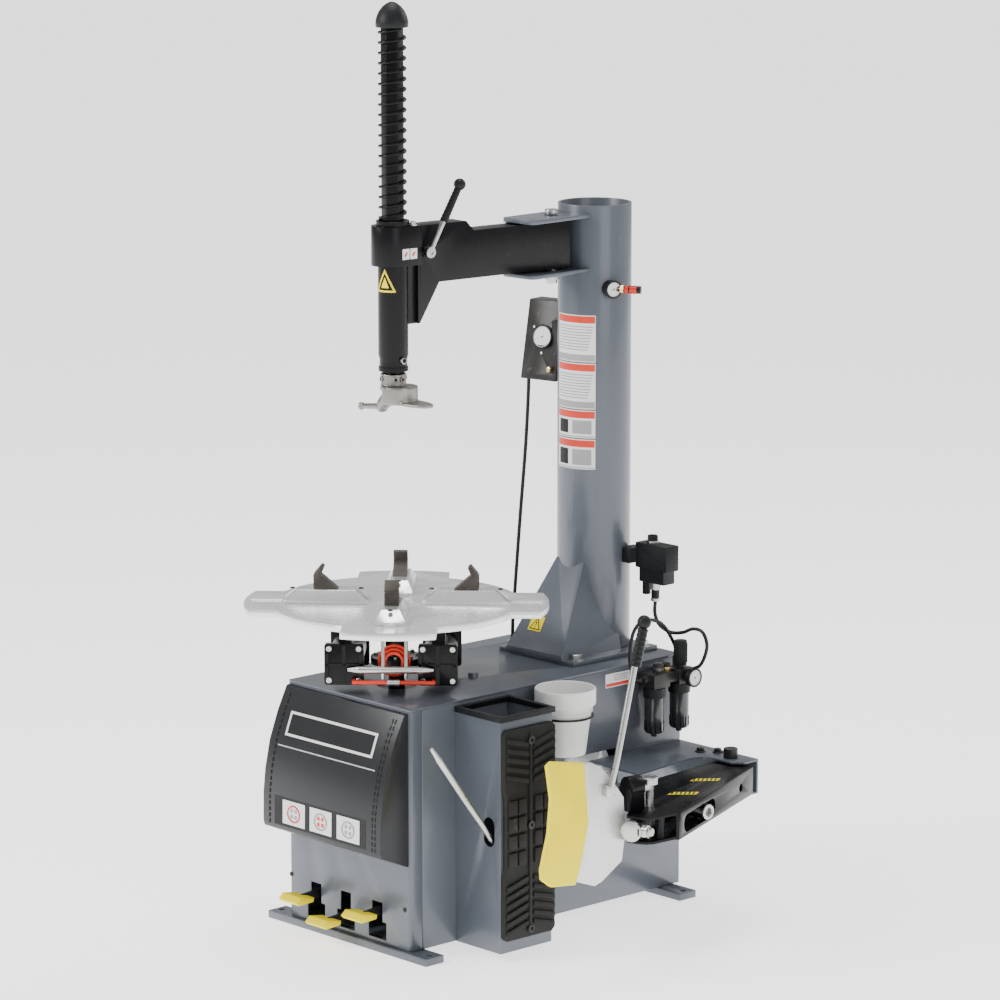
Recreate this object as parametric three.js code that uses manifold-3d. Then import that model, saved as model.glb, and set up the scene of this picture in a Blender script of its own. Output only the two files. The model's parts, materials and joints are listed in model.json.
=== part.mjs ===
// Swing-arm tyre changer with a turntable, a side bead breaker and a tyre inflator.
// Units are millimetres, +Z is up. The machine is laid out with X = 0 on the cabinet's mid-plane,
// Y = 0 on the cabinet's front face and Z = 0 on the floor, and moved as a whole at the end.
import * as THREE from 'three';
import { mergeVertices } from 'three/addons/utils/BufferGeometryUtils.js';
import Module from 'manifold-3d';

const wasm = await Module();
wasm.setup();

// ---------- driving dimensions
const GAP = 0.3;              // clearance between pieces that touch
const CAB_HALF = 194;         // cabinet half width
const CAB_DEPTH = 787;
const CAB_TOP = 531;
const SHEET = 4;              // cabinet sheet
const FOOT = 16;              // foot bar height
const CAB_BASE = FOOT + GAP;

const TABLE = [0, 136];       // turntable axis
const TABLE_R = 320;          // over the lobe tips
const TABLE_CORE_R = 262;     // between the lobes
const LOBE_HALF = 98;
const TABLE_TOP = 710;
const TABLE_THICK = 14;

const COLUMN = [20, 691];     // column axis
const COLUMN_R = 79.5;
const COLUMN_WALL = 6;
const COLUMN_TOP = 1507;
const BASE_T = 9;             // column base plate
const HINGE_TURN = 3;         // degrees, hinge bracket about the column axis
const PIVOT = [27, 557];      // swing arm hinge axis
const ARM_BOTTOM = 1379;
const ARM_TOP = 1479;

const POST = [-3, 133];       // hexagon post axis
const POST_FLATS = 41;
const POST_BOTTOM = 1178;
const POST_TOP = 1930;
const GUIDE_R = 31;           // tube that guides the post
const GUIDE_BOTTOM = 1200;
const HOUSING_TOP = 1503;
const SPRING_TOP = 1910;
const SPRING_TURNS = 19;

const BREAKER_PIVOT = [380, 753];
const BREAKER_LOW = 272;      // underside of the bead breaker arm
const BREAKER_HIGH = 331;
const BLADE_PIN = [525, 361];
const PIN_R = 11;
const RAM = [503, 297];       // bead breaker ram axis: Y, Z
const RAM_R = 12;
const CYLINDER_R = 92;
const BOX = { x0: CAB_HALF + GAP, x1: 331, y0: 126, y1: 271, z0: 16, z1: 508.7 };
const BUCKET = [263, 374];
const PEDAL_AXLE = [190, 70]; // Y, Z
const TREATMENT_X = 230;      // air treatment unit: plane of the bowls

// ---------- materials
const paint = (color, roughness = 0.35, metalness = 0.1) => () =>
  new THREE.MeshStandardMaterial({ color, roughness, metalness });
const slate = paint(0x6b727e);
const slateDark = paint(0x59606b);
const blackPaint = paint(0x17181a, 0.25);
const blackPlastic = paint(0x2b2d2f, 0.6, 0);
const rubber = paint(0x1d1e1e, 0.85, 0);
const zinc = paint(0xb9bcb8, 0.35, 0.9);
const steel = paint(0xa9a69e, 0.4, 0.9);
const alloy = paint(0xc9cbcc, 0.3, 0.85);
const brass = paint(0xb08d4a, 0.35, 0.9);
const yellow = paint(0xe8d22a, 0.4, 0);
const red = paint(0xe0402e, 0.5, 0);
const white = paint(0xe9e9e7, 0.5, 0);
const darkSteel = paint(0x4a4845, 0.45, 0.7);

// ---------- solids: three.js geometry in, closed bodies out
function solid(source) {
  const bare = new THREE.BufferGeometry();
  bare.setAttribute('position', source.attributes.position.clone());
  if (source.index) bare.setIndex(source.index.clone());
  const merged = mergeVertices(bare, 1e-4);
  const at = merged.attributes.position.array;
  const all = merged.index.array;
  const faces = [];
  let volume = 0;
  for (let i = 0; i < all.length; i += 3) {
    const [a, b, c] = [all[i], all[i + 1], all[i + 2]];
    if (a === b || b === c || a === c) continue;
    faces.push(a, b, c);
    const [p, q, r] = [a, b, c].map((k) => new THREE.Vector3().fromArray(at, k * 3));
    volume += p.dot(q.cross(r));
  }
  if (volume < 0) faces.reverse();
  return new wasm.Manifold(new wasm.Mesh({
    numProp: 3, vertProperties: Float32Array.from(at), triVerts: Uint32Array.from(faces),
  }));
}

function surface(body) {
  const mesh = body.getMesh();
  const geometry = new THREE.BufferGeometry();
  geometry.setAttribute('position', new THREE.BufferAttribute(Float32Array.from(mesh.vertProperties), 3));
  geometry.setIndex(new THREE.BufferAttribute(Uint32Array.from(mesh.triVerts), 1));
  geometry.computeVertexNormals();
  return geometry;
}

const join = (...bodies) => bodies.reduce((a, b) => a.add(b));
const cut = (body, ...tools) => tools.reduce((a, b) => a.subtract(b), body);

function box(x0, x1, y0, y1, z0, z1) {
  const geometry = new THREE.BoxGeometry(x1 - x0, y1 - y0, z1 - z0);
  return solid(geometry.translate((x0 + x1) / 2, (y0 + y1) / 2, (z0 + z1) / 2));
}

// A round or many-sided bar between two points, tapered if endRadius is given.
function rod(from, to, radius, sides = 16, endRadius = radius) {
  const a = new THREE.Vector3(...from);
  const b = new THREE.Vector3(...to);
  const geometry = new THREE.CylinderGeometry(endRadius, radius, a.distanceTo(b), sides);
  const along = b.clone().sub(a).normalize();
  geometry.applyQuaternion(new THREE.Quaternion().setFromUnitVectors(new THREE.Vector3(0, 1, 0), along));
  return solid(geometry.translate(...a.add(b).multiplyScalar(0.5).toArray()));
}

const disc = ([x, y], radius, z0, z1, sides = 20) => rod([x, y, z0], [x, y, z1], radius, sides);
const ball = (at, radius, sides = 10) =>
  solid(new THREE.SphereGeometry(radius, sides, sides / 2).translate(...at));

function tubeRing([x, y], outer, inner, z0, z1, sides = 24) {
  return cut(disc([x, y], outer, z0, z1, sides), disc([x, y], inner, z0 - 1, z1 + 1, sides));
}

function outline(points) {
  return new THREE.Shape(points.map(([x, y]) => new THREE.Vector2(x, y)));
}

function roundedRect(x0, x1, y0, y1, r) {
  const s = new THREE.Shape();
  s.moveTo(x0 + r, y0).lineTo(x1 - r, y0).absarc(x1 - r, y0 + r, r, -Math.PI / 2, 0);
  s.lineTo(x1, y1 - r).absarc(x1 - r, y1 - r, r, 0, Math.PI / 2);
  s.lineTo(x0 + r, y1).absarc(x0 + r, y1 - r, r, Math.PI / 2, Math.PI);
  s.lineTo(x0, y0 + r).absarc(x0 + r, y0 + r, r, Math.PI, 1.5 * Math.PI);
  return s;
}

const extruded = (shape, depth, curveSegments) =>
  new THREE.ExtrudeGeometry(shape, { depth, bevelEnabled: false, curveSegments });

// A shape drawn in plan (X, Y), standing from z0 to z1.
const prism = (shape, z0, z1, segments = 3) =>
  solid(extruded(shape, z1 - z0, segments).translate(0, 0, z0));

// A shape drawn from the side (Y, Z), running from x0 to x1.
function sideways(shape, x0, x1, segments = 3) {
  const basis = new THREE.Matrix4().makeBasis(
    new THREE.Vector3(0, 1, 0), new THREE.Vector3(0, 0, 1), new THREE.Vector3(1, 0, 0));
  return solid(extruded(shape, x1 - x0, segments).applyMatrix4(basis).translate(x0, 0, 0));
}

// A shape drawn from the front (X, Z), running from y0 to y1.
function frontways(shape, y0, y1, segments = 3) {
  const basis = new THREE.Matrix4().makeBasis(
    new THREE.Vector3(1, 0, 0), new THREE.Vector3(0, 0, 1), new THREE.Vector3(0, -1, 0));
  return solid(extruded(shape, y1 - y0, segments).applyMatrix4(basis).translate(0, y1, 0));
}

// A profile of (radius, z) points turned about a vertical axis.
function turned([x, y], profile, sides = 20) {
  const geometry = new THREE.LatheGeometry(profile.map(([r, z]) => new THREE.Vector2(r, z)), sides);
  return solid(geometry.rotateX(Math.PI / 2).scale(1, -1, 1).translate(x, y, 0));
}

// A round section swept along a smooth curve through the given points.
function swept(points, radius, sides = 8, steps = 40) {
  const curve = new THREE.CatmullRomCurve3(points.map((p) => new THREE.Vector3(...p)));
  const section = new THREE.Shape();
  for (let i = 0; i <= sides; i += 1) {
    const a = (2 * Math.PI * i) / sides;
    if (i === 0) section.moveTo(radius, 0);
    else if (i < sides) section.lineTo(radius * Math.cos(a), radius * Math.sin(a));
  }
  section.closePath();
  return solid(new THREE.ExtrudeGeometry(section, { steps, extrudePath: curve, bevelEnabled: false }));
}

// The same body turned about Z, then shifted.
const placed = (body, turnZ, x = 0, y = 0, z = 0) =>
  solid(surface(body).rotateZ(THREE.MathUtils.degToRad(turnZ)).translate(x, y, z));

// ---------- scene graph
const machine = new THREE.Group();

function part(name, body, material, parent = machine) {
  const mesh = new THREE.Mesh(surface(body), material());
  mesh.name = name;
  parent.add(mesh);
  return mesh;
}

function groupAt(x, y, z = 0, turnZ = 0, parent = machine) {
  const group = new THREE.Group();
  group.position.set(x, y, z);
  group.rotation.z = THREE.MathUtils.degToRad(turnZ);
  parent.add(group);
  return group;
}

// ---------- cabinet
function cabinetShell() {
  const front = 32 + GAP;
  const top = CAB_TOP - SHEET - GAP;
  const body = cut(
    box(-CAB_HALF, CAB_HALF, front, CAB_DEPTH, CAB_BASE, top),
    box(SHEET - CAB_HALF, CAB_HALF - SHEET, front - 1, CAB_DEPTH - SHEET, CAB_BASE + SHEET, top + 1));
  return cut(body, box(CAB_HALF - 10, CAB_HALF + 1, 440, 600, 200, 352));
}

function pedalSlots() {
  return [-107, -12, 88].map((x) => join(
    box(x - 16, x + 16, -5, 10, 55, 104),
    box(x - 28, x + 28, -5, 10, 25, 62)));
}

function frontPanel() {
  const top = CAB_TOP - SHEET - GAP;
  const outer = roundedRect(-CAB_HALF, CAB_HALF, 0, 60, 9);
  const inner = roundedRect(3 - CAB_HALF, CAB_HALF - 3, 3, 70, 6);
  return cut(
    prism(outer, CAB_BASE, top),
    prism(inner, 0, top + 1),
    box(-300, 300, 32, 80, 0, 600),
    ...pedalSlots());
}

// Moulded cover: a bulged box, open at the back.
function frontCover() {
  const face = [[-GAP, 524], [-9, 522], [-34, 472], [-57, 412], [-70, 352], [-75.5, 302],
    [-76.5, 240], [-73, 229], [-GAP, 197]];
  const hollow = [[2, 520], [-7, 518], [-31, 471], [-54, 411], [-67, 352], [-72.5, 302],
    [-73.5, 241], [-71, 232.5], [2, 200.5]];
  return cut(sideways(outline(face), -188, 187), sideways(outline(hollow), -185, 184));
}

const topPlate = () => cut(
  join(prism(roundedRect(-CAB_HALF, CAB_HALF, 0, CAB_DEPTH, 7), CAB_TOP - SHEET, CAB_TOP),
    disc([56, 302], 11, CAB_TOP - 1, CAB_TOP + 10, 20), disc([-140, 600], 9, CAB_TOP - 1, CAB_TOP + 8, 20)),
  disc(TABLE, 42, 500, 560));

function footBar(half, y0, y1) {
  const holes = [-1, 1].map((side) => disc([side * (half - 16), (y0 + y1) / 2], 7, -1, FOOT + 1, 16));
  return cut(box(-half, half, y0, y1, 0, FOOT), ...holes);
}

part('cabinet_shell', cabinetShell(), slate);
part('top_plate', topPlate(), slate);
part('front_panel', frontPanel(), slate);
part('front_cover', frontCover(), blackPlastic);
part('front_foot', footBar(252, -11, 39), blackPaint);
part('rear_foot', footBar(262, 721, 771), blackPaint);

// ---------- tool box, tyre pad, tyre lever and grease bucket on the right side
function toolBox() {
  const { x0, x1, y0, y1, z0, z1 } = BOX;
  const oval = roundedRect(279, 312, 240, 302, 15.9);
  return cut(box(x0, x1, y0, y1, z0, z1),
    box(x0 + 3, x1 - 3, y0 + 3, y1 - 3, z0 + 3, z1 + 1),
    frontways(oval, y0 - 5, y0 + 10));
}

function toolBoxRim() {
  const { x0, x1, y0, y1, z1 } = BOX;
  const low = z1 + GAP;
  return cut(box(x0, x1 + 6, y0 - 5, y1 + 5, low, low + 12),
    box(x0 + 9, x1 - 3, y0 + 5, y1 - 5, low - 1, low + 13));
}

function tyrePad() {
  const { x1, y0, y1 } = BOX;
  const waist = 6;
  const shape = outline([[y0, 52], [y0 + 8, 44], [y1 - 8, 44], [y1, 52], [y1, 178], [y1 - waist, 200],
    [y1 - waist, 345], [y1, 367], [y1, 484], [y1 - 8, 492], [y0 + 8, 492], [y0, 484],
    [y0, 367], [y0 + waist, 345], [y0 + waist, 200], [y0, 178]]);
  return sideways(shape, x1 + GAP, x1 + 18);
}

// The lever leans out of the oval hole, its foot low in the box.
const LEVER_FOOT = [295.5, 250, 100];
const LEVER_TIP = [295.5, -33, 475];

function tyreLever() {
  const foot = new THREE.Vector3(...LEVER_FOOT);
  const along = new THREE.Vector3(...LEVER_TIP).sub(foot);
  const at = (t) => foot.clone().addScaledVector(along, t).toArray();
  return join(rod(at(0), at(0.93), 7, 12), rod(at(0.92), at(1), 7, 12, 4));
}

const bucket = () => turned(BUCKET, [[0, 390], [43, 390], [58, 498], [65, 500], [65, 530], [62, 533],
  [60, 530], [55, 497], [40, 394], [0, 394]], 20);

function bucketRing() {
  const ring = solid(new THREE.TorusGeometry(58.5, 2.5, 8, 20).translate(...BUCKET, 473));
  const y = BUCKET[1];
  const stay = (side) => rod([CAB_HALF + 1, y + side * 24, 473], [211, y + side * 24, 473], 2.5, 8);
  return join(ring, stay(-1), stay(1), box(CAB_HALF + GAP, CAB_HALF + 4, y - 34, y + 34, 465, 481));
}

part('tool_box', toolBox(), slate);
part('tool_box_rim', toolBoxRim(), blackPlastic);
part('tyre_pad', tyrePad(), rubber);
part('tyre_lever', tyreLever(), zinc);
part('bucket', bucket(), white);
part('bucket_ring', bucketRing(), darkSteel);

// ---------- column with its base, gusset and hinge bracket
const BASE_TOP = CAB_TOP + GAP + BASE_T;
const ROUND = 48;             // facets of the column and of everything bored to fit it
const columnTube = () => tubeRing(COLUMN, COLUMN_R, COLUMN_R - COLUMN_WALL, BASE_TOP + GAP, COLUMN_TOP, ROUND);

function columnBase() {
  const [x, y] = COLUMN;
  const plate = prism(roundedRect(x - 119, x + 119, 518, 775, 8), CAB_TOP + GAP, BASE_TOP);
  const front = (wide, low) => outline([[x - wide, low], [x + wide, low], [x + 38 + wide - 88, 750],
    [x - 38 - wide + 88, 750]]);
  const side = (inset, low) => outline([[513 + inset, low], [513 + inset, 551], [524 + inset, 565],
    [620 + inset, 735 - inset], [690, 735 - inset], [690, low]]);
  const skin = frontways(front(88, BASE_TOP - 1), 500, 700).intersect(sideways(side(0, BASE_TOP - 1), x - 99, x + 99));
  const hollow = frontways(front(82, 520), 490, 710).intersect(sideways(side(6, 520), x - 99, x + 99));
  const bolts = [[-99, 545], [99, 545], [-99, 745], [99, 745]].map(([dx, by]) =>
    disc([x + dx, by], 10, BASE_TOP - 1, BASE_TOP + 9, 6));
  const gusset = cut(skin, hollow, disc([x, y], COLUMN_R + GAP, 500, 900, ROUND));
  const drain = disc([x, y], 40, 500, 560, 20);
  return cut(join(plate, gusset, ...bolts), drain);
}

// Two plates and a side web that carry the arm's hinge pin, drawn from the column axis along -Y.
const BRACKET_HALF = 47;
const BRACKET_REACH = 242;
const pivotReach = Math.hypot(PIVOT[0] - COLUMN[0], PIVOT[1] - COLUMN[1]);

function hingeBracket() {
  const deck = (z0, z1) => prism(roundedRect(-BRACKET_HALF, BRACKET_HALF, -BRACKET_REACH, -30, 14), z0, z1);
  const web = box(-BRACKET_HALF, 6 - BRACKET_HALF, -BRACKET_REACH + 14, -60, 1367, 1490);
  return cut(join(deck(1482, 1491), deck(1366, 1374), web),
    disc([0, 0], COLUMN_R + GAP, 1300, 1600, ROUND), disc([0, -pivotReach], 12 + GAP, 1300, 1600, 20));
}

function hingePin() {
  return join(disc([0, 0], 12, 1345, 1500, 20), disc([0, 0], 15.5, 1491 + GAP, 1503, 20),
    disc([0, 0], 18, 1353, 1366 - GAP, 6));
}

part('column', columnTube(), slate);
part('column_base', columnBase(), slate);
part('hinge_bracket', hingeBracket(), slate, groupAt(...COLUMN, 0, HINGE_TURN));
part('hinge_pin', hingePin(), zinc, groupAt(...PIVOT));

// ---------- swing arm: drawn with its hinge axis at the origin, reaching along -Y to the post
const reach = Math.hypot(POST[0] - PIVOT[0], POST[1] - PIVOT[1]);
const armTurn = THREE.MathUtils.radToDeg(Math.atan2(POST[0] - PIVOT[0], PIVOT[1] - POST[1]));
const arm = groupAt(...PIVOT, 0, armTurn);
const TUBE_HALF = 25;
const ARM_END = 46 - reach;                       // where the post housing is bolted on
const LOCK = [33, 63 - reach, 1446];              // lock lever axle

function swingArm() {
  const profile = outline([[30, ARM_BOTTOM], [30, ARM_TOP], [ARM_END + 148, ARM_TOP], [ARM_END + 128, 1500],
    [ARM_END, 1500], [ARM_END, 1297], [ARM_END + 5, 1297], [ARM_END + 56, ARM_BOTTOM]]);
  const hollow = outline([[-5, ARM_BOTTOM + 5], [-5, ARM_TOP - 5], [ARM_END + 80, ARM_TOP - 5],
    [ARM_END + 80, ARM_BOTTOM + 5]]);
  const tube = cut(sideways(profile, -TUBE_HALF, TUBE_HALF), sideways(hollow, 5 - TUBE_HALF, TUBE_HALF - 5));
  const barrel = disc([0, 0], 21, ARM_BOTTOM - 3, ARM_TOP + 2, 20);
  const boss = rod([TUBE_HALF - 4, LOCK[1], LOCK[2]], [LOCK[0] - GAP, LOCK[1], LOCK[2]], 12);
  const vent = box(-8, 8, ARM_END + 110, ARM_END + 150, ARM_BOTTOM - 5, ARM_BOTTOM + 20);
  return cut(join(tube, barrel, boss), disc([0, 0], 12 + GAP, 1300, 1600, 20), vent);
}

// Bored block at the arm's end with the guide tube of the post hanging below it.
function postHousing() {
  const at = [0, -reach];
  const back = ARM_END - GAP;
  const block = join(
    box(-39, 39, -reach - 8, back, 1421, HOUSING_TOP), disc([0, -reach - 8], 39, 1421, HOUSING_TOP, 20),
    disc(at, GUIDE_R, 1232, 1425, 20), disc(at, 28, 1204, 1234, 20),
    disc(at, GUIDE_R, GUIDE_BOTTOM, 1209, 20), box(-20, 20, -reach, back, 1297, 1425),
    rod([20, -reach, 1224], [38, -reach, 1224], 5, 12));
  return cut(block, disc(at, 24.8, 1100, 1600, 20));
}

// Cam handle on the side of the arm.
function lockLever() {
  const [x, y, z] = LOCK;
  const at = (s) => [x + 11, y + 0.503 * s, z + 0.865 * s];
  return join(rod([x, y, z], [x + 17, y, z], 12, 20), rod(at(0), at(72), 5, 12),
    rod(at(66), at(146), 9, 12, 7.5), ball(at(156), 13));
}

part('swing_arm', swingArm(), blackPaint, arm);
part('post_housing', postHousing(), blackPaint, arm);
part('lock_lever', lockLever(), zinc, arm);

// ---------- hexagon post with its cap, return spring and mount head
const post = groupAt(...POST);
const HEX_R = POST_FLATS / Math.sqrt(3);

function hexagon(radius, z0, z1) {
  const geometry = new THREE.CylinderGeometry(radius, radius, z1 - z0, 6).rotateX(Math.PI / 2);
  return solid(geometry.rotateZ(THREE.MathUtils.degToRad(17)).translate(0, 0, (z0 + z1) / 2));
}

function postCap() {
  const dome = [[0, SPRING_TOP], [34, SPRING_TOP], [34, 1922], [29, 1944], [19, 1958], [0, 1963]];
  return cut(turned([0, 0], dome, 20), hexagon(HEX_R + GAP, 1900, POST_TOP + GAP));
}

function postSpring() {
  const points = [];
  const low = HOUSING_TOP + 2.5;
  const high = SPRING_TOP - 2.5;
  const count = SPRING_TURNS * 12;
  for (let i = 0; i <= count; i += 1) {
    const a = (Math.PI * i) / 6;
    points.push([27 * Math.cos(a), 27 * Math.sin(a), low + ((high - low) * i) / count]);
  }
  return swept(points, 2, 3, count);
}

// Cast head: clamp collar, drum with a thin wing to the right, finger with its peg to the left.
function mountHead() {
  const wing = new THREE.Shape().absellipse(62, 0, 54, 27, 0, 2 * Math.PI);
  const collar = cut(turned([0, 0], [[0, 1160], [29, 1160], [27, 1172], [27, 1195], [0, 1195]], 20),
    hexagon(HEX_R + GAP, POST_BOTTOM, 1300));
  return join(disc([20, 0], 38, 1134, 1170, 20), prism(wing, 1134, 1141, 8), collar,
    rod([2, 0, 1156], [-34, 0, 1124], 18, 16, 14), ball([-36, 0, 1120], 14),
    rod([-36, 0, 1120], [-98, 0, 1113], 7, 14, 6), rod([-97, 0, 1113.1], [-104, 0, 1112.3], 8.5, 14));
}

part('hex_post', hexagon(HEX_R, POST_BOTTOM + GAP, POST_TOP), darkSteel, post);
part('post_cap', postCap(), blackPlastic, post);
part('post_spring', postSpring(), darkSteel, post);
part('mount_head', mountHead(), steel, post);

// ---------- turntable: drawn about its own axis with a lobe along +X, then turned by 45 degrees
const table = groupAt(...TABLE, 0, 45);
const below = groupAt(...TABLE, 0, -45);
const QUARTERS = [0, 90, 180, 270];
const PLATE_LOW = TABLE_TOP - TABLE_THICK;

function tableOutline() {
  const shape = new THREE.Shape();
  const core = Math.asin(LOBE_HALF / TABLE_CORE_R);
  const tip = Math.asin(LOBE_HALF / TABLE_R);
  shape.moveTo(TABLE_R * Math.cos(tip), -LOBE_HALF);
  for (const turn of QUARTERS.map(THREE.MathUtils.degToRad)) {
    shape.absarc(0, 0, TABLE_R, turn - tip, turn + tip);
    shape.absarc(0, 0, TABLE_CORE_R, turn + core, turn + Math.PI / 2 - core);
  }
  return shape;
}

function turntablePlate() {
  const slots = QUARTERS.map((a) => placed(box(80, 306, -13, 13, 600, 800), a));
  return cut(prism(tableOutline(), PLATE_LOW, TABLE_TOP, 6), ...slots);
}

// Spindle with the air union below the plate; it runs down into the gearbox.
const spindle = () => turned([0, 0], [[0, 420], [17, 420], [17, 556], [30, 558], [30, 570], [54, 582],
  [54, 592], [24, 596], [24, 682], [74, 684], [74, PLATE_LOW - GAP], [0, PLATE_LOW - GAP]], 20);

// Two clamping cylinders lie side by side under the plate, ends towards the bead breaker.
function clampCylinder(y) {
  const cap = (a, b) => sideways(roundedRect(y - 41, y + 41, 553, 640, 6), a, b);
  const foot = (a, b) => box(a, b, y - 14, y + 14, 625, PLATE_LOW - GAP);
  return join(rod([-90, y, 597], [90, y, 597], 36, 20), cap(84, 100), cap(-100, -84), foot(-60, -26), foot(26, 60));
}

function linkTube() {
  const x = 114;
  const hanger = (y) => rod([x, y, 570], [x, y, PLATE_LOW - GAP], 4, 10);
  return join(rod([x, -95, 589], [x, -72, 589], 4, 16, 8), rod([x, -73, 589], [x, 61, 589], 8, 16),
    rod([x, 60, 589], [x, 83, 589], 8, 16, 4), hanger(-22), hanger(26));
}

function tableAirLine() {
  const x = 114;
  return join(rod([x, -86, 562], [x, 86, 562], 4.5, 10), rod([x, -12, 562], [x, 12, 562], 6.2, 12),
    rod([100 + GAP, -82, 562], [x, -82, 562], 5, 10), rod([100 + GAP, 82, 562], [x, 82, 562], 5, 10));
}

part('turntable_plate', turntablePlate(), alloy, table);
part('spindle', spindle(), darkSteel, below);
part('clamp_cylinder_left', clampCylinder(-104), blackPaint, below);
part('clamp_cylinder_right', clampCylinder(91), blackPaint, below);
part('link_tube', linkTube(), zinc, below);
part('table_air_line', tableAirLine(), red, below);

// One jaw on each lobe: a key in the slot, a long cover above the plate and a hooked claw.
function jaw() {
  const top = TABLE_TOP + GAP;
  const key = box(112, 240, GAP - 13, 13 - GAP, PLATE_LOW - 5, top + 1);
  const section = outline([[-30, top], [30, top], [30, top + 9], [19, top + 27], [-19, top + 27], [-30, top + 9]]);
  const side = outline([[57, top], [235, top], [235, top + 5], [208, top + 27], [84, top + 27], [57, top + 5]]);
  const cover = sideways(section, 57, 235).intersect(frontways(side, -40, 40));
  const claw = outline([[119, top + 25], [172, top + 25], [172, 770], [156, 789], [150, 785], [157, 768], [148, 761]]);
  return join(key, cover, frontways(claw, -15, 15));
}

QUARTERS.forEach((a, i) => part(`jaw_${i + 1}`, jaw(), steel, groupAt(0, 0, 0, a, table)));

// ---------- pedals: each hangs on an axle across the cabinet, its tread in front of the slot
function pedal(treadY, treadZ) {
  const [ay, az] = PEDAL_AXLE;
  const tread = sideways(outline([[treadY - 24, treadZ - 3], [treadY - 18, treadZ - 9], [treadY + 22, treadZ - 7],
    [treadY + 24, treadZ + 2], [treadY - 12, treadZ + 8]]), -30, 30);
  const lever = sideways(outline([[treadY, treadZ - 5], [8, treadZ - 12], [ay, az - 12], [ay, az + 12],
    [8, treadZ + 8], [treadY, treadZ + 3]]), -4, 4);
  const hub = rod([-10, ay, az], [10, ay, az], 17, 20);
  return cut(join(tread, lever, hub), rod([-20, ay, az], [20, ay, az], 8 + GAP, 20));
}

[['pedal_left', -107, -55, 82], ['pedal_middle', -12, -63, 53], ['pedal_right', 88, -50, 85]].forEach(
  ([name, x, y, z]) => part(name, pedal(y, z), yellow, groupAt(x, 0)));

const pedalAxle = () => rod([SHEET + GAP - CAB_HALF, ...PEDAL_AXLE], [CAB_HALF - SHEET - GAP, ...PEDAL_AXLE], 8, 20);
part('pedal_axle', pedalAxle(), zinc);

// ---------- drive inside the cabinet, hung from the top plate
const MOTOR = [-70, 345];
const UNDER = CAB_TOP - SHEET - GAP;

function gearbox() {
  return cut(join(disc(TABLE, 92, 400, UNDER - 12, 20), disc(TABLE, 112, UNDER - 14, UNDER, 20),
    disc(TABLE, 16, 372, 402, 20)), disc(TABLE, 17 + GAP, 419.7, 600, 20));
}

function motor() {
  return join(disc(MOTOR, 62, 385, UNDER - 14, 20), disc(MOTOR, 76, UNDER - 16, UNDER, 20),
    disc(MOTOR, 12, 340, 387, 16));
}

const pulley = (at, radius, bore) => tubeRing(at, radius, bore + GAP, 344, 366, 20);

// A flat loop that hugs both pulleys.
function driveBelt() {
  const [dx, dy] = [MOTOR[0] - TABLE[0], MOTOR[1] - TABLE[1]];
  const span = Math.hypot(dx, dy);
  const lean = Math.atan2(dy, dx);
  const loop = (big, small) => {
    const a = Math.acos((big - small) / span);
    const shape = new THREE.Shape().absarc(0, 0, big, a, 2 * Math.PI - a);
    return shape.absarc(span, 0, small, -a, a);
  };
  const ring = cut(prism(loop(66, 36), 347, 363, 10), prism(loop(61.5, 31.5), 340, 370, 10));
  return placed(ring, THREE.MathUtils.radToDeg(lean), ...TABLE);
}

part('gearbox', gearbox(), darkSteel);
part('drive_motor', motor(), slateDark);
part('gearbox_pulley', join(pulley(TABLE, 60, 17), disc(TABLE, 30, 340, 345)), zinc);
part('motor_pulley', pulley(MOTOR, 30, 12), zinc);
part('drive_belt', driveBelt(), rubber);

// ---------- bead breaker
function breakerBracket() {
  const shelf = prism(outline([[CAB_HALF + GAP, 510], [346, 510], [323, 684], [334, 714], [350, 722], [410, 722],
    [430, 742], [430, 787], [CAB_HALF + GAP, 787]]), 333, 338);
  const web = box(CAB_HALF + GAP, 430, 782, 787, 262, 338);
  const floor = prism(roundedRect(300, 430, 722, 787, 4), 262, 267);
  const plate = box(CAB_HALF + GAP, CAB_HALF + 5, 700, 787, 240, 338);
  const flange = prism(outline([[268, 524], [250, 684], [245, 684], [263, 524]]), 278, 336);
  return cut(join(shelf, web, floor, plate, flange), disc(BREAKER_PIVOT, 10 + GAP, 200, 400, 20));
}

const pivotBolt = () => join(disc([0, 0], 10, 246, 345, 20), disc([0, 0], 15, 338 + GAP, 358, 20),
  disc([0, 0], 15, 250, 262 - GAP, 6));

// Folded arm: two flanges joined by an outer plate with a long slot for the ram.
const ARM_TIP = [604, 364];
const ARM_HEEL = [447, 745];

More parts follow.
